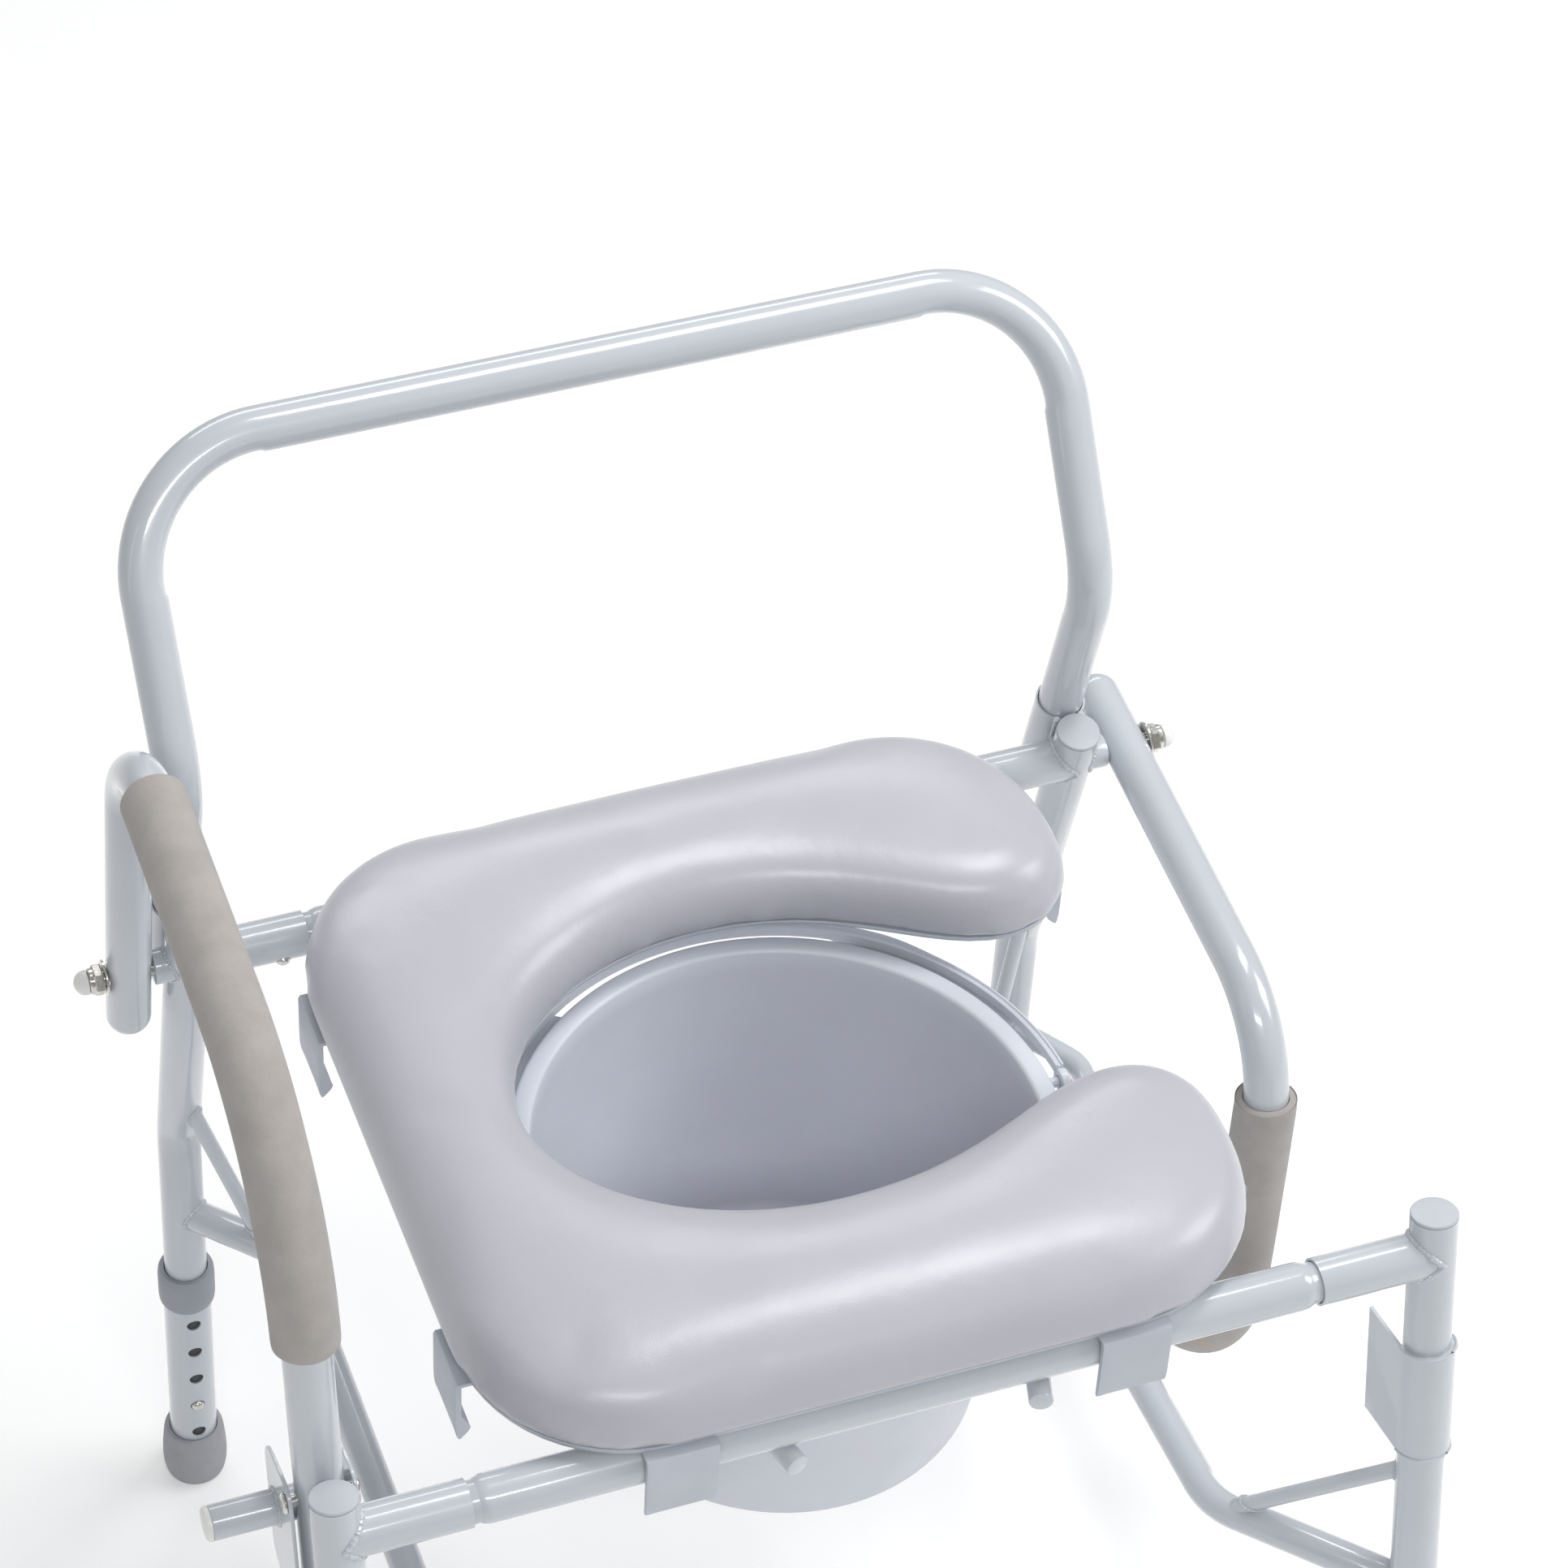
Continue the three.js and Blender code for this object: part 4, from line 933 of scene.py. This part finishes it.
def make_seat_base():
    shape = Shape()
    rows = [(4.3, SEAT_BASE), (3.4, SEAT_BASE + 0.4), (3, SEAT_BASE + 1.4), (3, SEAT_BASE + 2.4)]
    rows += [(3.6, SEAT_BASE + SEAT_SHEET)]
    shape.loops([[SEAT_CENTRE + vec(x, y, z) for x, y in seat_outline(m)] for m, z in rows])
    outside = -DEPTH / 2 - CLIP_REACH - CLIP_SHEET
    inside = outside + CLIP_SHEET
    plate = [(inside + 7, SEAT_BASE + 1), (outside + 1, SEAT_BASE + 1), (outside, SEAT_BASE - 1)]
    plate += [(outside, -10), (outside + 0.2, -20), (outside + 0.8, -25), (outside + 1.6, -27)]
    plate.append((inside - 0.4, -26.8))
    nose = [(inside + x, z) for x, z in ((3.6, -22.5), (4.9, -19.5), (4.2, -17), (2.2, -13.5), (0, -9))]
    for turn in range(4):
        hook = plate + (nose if turn % 2 else [(inside, -25.5)])
        hook += [(inside, SEAT_BASE - 1.2), (inside + 7, SEAT_BASE - 1.2)]
        spin = Matrix.Rotation(turn * math.pi / 2, 3, "Z")
        for x in (-CLIP_OFFSET, CLIP_OFFSET):
            loops = []
            for step, shrink in ((-1, 0.7), (-0.96, 0.1), (-0.6, 0), (0.6, 0), (0.96, 0.1), (1, 0.7)):
                offset = x + step * CLIP_WIDTH / 2
                flare = 0.35 * abs(step) ** 3
                out, up = shrink * 0.4 - flare, shrink * 0.3
                loops.append([SEAT_CENTRE + spin @ vec(offset, y + out, z + up) for y, z in hook])
            shape.loops(loops)
    shape.to_object("seat_tray", "seat_plastic", "seat", ["seat_base"], sharp=40)


def make_seat_pad():
    """Moulded vinyl cushion: a rounded horseshoe, blown up by a cloth simulation."""
    low = SEAT_BASE + SEAT_SHEET + 0.7
    turn_z, crown = low + PAD_TURN, SEAT_TOP - low - PAD_TURN
    rows = [(1, low), (-1.5, low + 0.5), (-2.6, low + 2.5), (-3, low + 5), (-2.4, low + 7)]
    for k in range(13):
        a = math.pi / 2 * k / 12
        rows.append((PAD_EDGE * (1 - math.cos(a)) ** 1.06, turn_z + crown * math.sin(a) ** 0.9))
    shape = Shape()
    shape.loops([[SEAT_CENTRE + vec(x, y, z) for x, y in seat_outline(m)] for m, z in rows])
    bmesh.ops.triangulate(shape.bm, faces=[f for f in shape.bm.faces if len(f.verts) > 4])
    pad = shape.to_object("seat_cushion", "vinyl", "seat", ["seat_pad"])
    remesh = pad.modifiers.new("remesh", "REMESH")
    remesh.mode, remesh.voxel_size, remesh.use_smooth_shade = "VOXEL", VOXEL, True
    apply_modifiers(pad)
    smooth_out(pad, SMOOTH_BEFORE)
    inflate(pad, (ORIGIN.z + low + 5) * MM, PAD_SWELL)
    smooth_out(pad, SMOOTH_AFTER)
    finer = pad.modifiers.new("finer", "SUBSURF")
    finer.levels = finer.render_levels = 1
    apply_modifiers(pad)
    pad.data.polygons.foreach_set("use_smooth", [True] * len(pad.data.polygons))
    pad.data.materials.clear()
    pad.data.materials.append(FINISHES["vinyl"])


def smooth_out(pad, iterations):
    modifier = pad.modifiers.new("smooth", "SMOOTH")
    modifier.factor, modifier.iterations = SMOOTH_FACTOR, iterations
    apply_modifiers(pad)


def inflate(pad, pinned_below, most):
    """Cloth simulation with air pressure. The underside is pinned; no point moves further than most."""
    rest = [v.co.copy() for v in pad.data.vertices]
    group = pad.vertex_groups.new(name="pinned")
    group.add([i for i, p in enumerate(rest) if p.z < pinned_below], 1.0, "REPLACE")
    cloth = pad.modifiers.new("cloth", "CLOTH")
    settings = cloth.settings
    settings.use_pressure, settings.uniform_pressure_force = True, PAD_PRESSURE
    settings.vertex_group_mass = "pinned"
    settings.effector_weights.gravity = 0
    settings.tension_stiffness = settings.compression_stiffness = PAD_STIFFNESS
    cloth.point_cache.frame_start, cloth.point_cache.frame_end = 1, PAD_FRAMES
    scene = bpy.context.scene
    for number in range(1, PAD_FRAMES + 1):
        scene.frame_set(number)
    graph = bpy.context.evaluated_depsgraph_get()
    moved = [v.co.copy() for v in pad.evaluated_get(graph).data.vertices]
    pad.modifiers.clear()
    for vertex, start, end in zip(pad.data.vertices, rest, moved):
        shift = end - start
        if shift.length > most:
            shift *= most / shift.length
        vertex.co = start + shift
    scene.frame_set(1)


# ---- Studio ----
def make_studio():
    floor_mesh = bpy.data.meshes.new("floor")
    reach = 9
    corners = [(-reach, -reach, 0), (reach, -reach, 0), (reach, reach, 0), (-reach, reach, 0)]
    floor_mesh.from_pydata(corners, [], [(0, 1, 2, 3)])
    floor = bpy.data.objects.new("floor", floor_mesh)
    bpy.context.scene.collection.objects.link(floor)
    paper = Finish("paper", (0.84, 0.84, 0.84), 0.9, Emission_Color=(1, 1, 1, 1), Emission_Strength=0.22)
    paper.mottle(1.5, 0.01)
    floor_mesh.materials.append(paper.material)

    world = bpy.data.worlds.new("studio")
    world.use_nodes = True
    world.node_tree.nodes["Background"].inputs["Color"].default_value = (0.98, 0.99, 1, 1)
    world.node_tree.nodes["Background"].inputs["Strength"].default_value = 0.36
    bpy.context.scene.world = world

    middle = vec(0, 0, 0.45)
    # name, place in metres, width and height in metres, watts
    lamps = (
        ("key", vec(2.2, -0.6, 2.2), (1.1, 1.4), 30),
        ("top", vec(0.7, 0.35, 2.9), (0.7, 1.1), 25),
        ("front", vec(-0.5, -1.9, 2.5), (1.4, 0.3), 22),
        ("left", vec(-2.6, -0.3, 1.5), (0.3, 1.6), 2),
        ("back", vec(0.2, 2.6, 2.3), (2.6, 0.5), 21),
    )
    for name, place, (width, height), power in lamps:
        light = bpy.data.lights.new(name, "AREA")
        light.shape, light.size, light.size_y, light.energy = "RECTANGLE", width, height, power
        lamp = bpy.data.objects.new(name, light)
        lamp.location = place
        lamp.rotation_mode = "QUATERNION"
        lamp.rotation_quaternion = (middle - place).to_track_quat("-Z", "Y")
        bpy.context.scene.collection.objects.link(lamp)
    bpy.context.scene.view_settings.view_transform = "Standard"


def make_camera():
    flat = math.cos(CAMERA_ELEVATION)
    sine, cosine = math.sin(CAMERA_AZIMUTH), math.cos(CAMERA_AZIMUTH)
    back = vec(-sine * flat, -cosine * flat, math.sin(CAMERA_ELEVATION))
    right = vec(cosine, -sine, 0)
    up = back.cross(right)
    rolled_right = right * math.cos(CAMERA_ROLL) + up * math.sin(CAMERA_ROLL)
    rolled_up = up * math.cos(CAMERA_ROLL) - right * math.sin(CAMERA_ROLL)
    data = bpy.data.cameras.new("camera")
    data.sensor_width, data.lens = CAMERA_SENSOR, CAMERA_LENS
    data.shift_x, data.shift_y = CAMERA_SHIFT
    data.clip_end = 50
    camera = bpy.data.objects.new("camera", data)
    turn = Matrix((rolled_right, rolled_up, back)).transposed().to_4x4()
    camera.matrix_world = Matrix.Translation(at(vec(*CAMERA_PLACE))) @ turn
    bpy.context.scene.collection.objects.link(camera)
    bpy.context.scene.camera = camera


for side, s in SIDES.items():
    make_front_post(side, s)
    make_rear_post(side, s)
    make_side_brace(side, s)
    make_pail_rod(side, s)
    make_pivot(side, s)
    make_arm(side, s, 0 if side == "left" else ARM_DROP)
    make_leg(f"front_{side}", front_foot(s), FRONT_AXIS)
    make_leg(f"rear_{side}", rear_foot(s), REAR_AXIS)
    for end, x, y in (("front", FRONT_X, 0), ("rear", REAR_X, DEPTH)):
        name = f"crossbar_button_{end}_{side}"
        centre = vec(s * (x - STUB_LENGTH + NECK_LENGTH / 2), y, 0)
        make_button(name, name, centre, button_way(y), TUBE_R)
    name = f"backrest_button_{side}"
    make_button(name, name, socket_at(0, s), vec(0, 1, 0), SOCKET_R)
make_crossbar("front", FRONT_X, 0)
make_crossbar("rear", REAR_X, DEPTH)
make_backrest()
make_pail()
make_bail()
make_seat_base()
make_seat_pad()
make_studio()
make_camera()
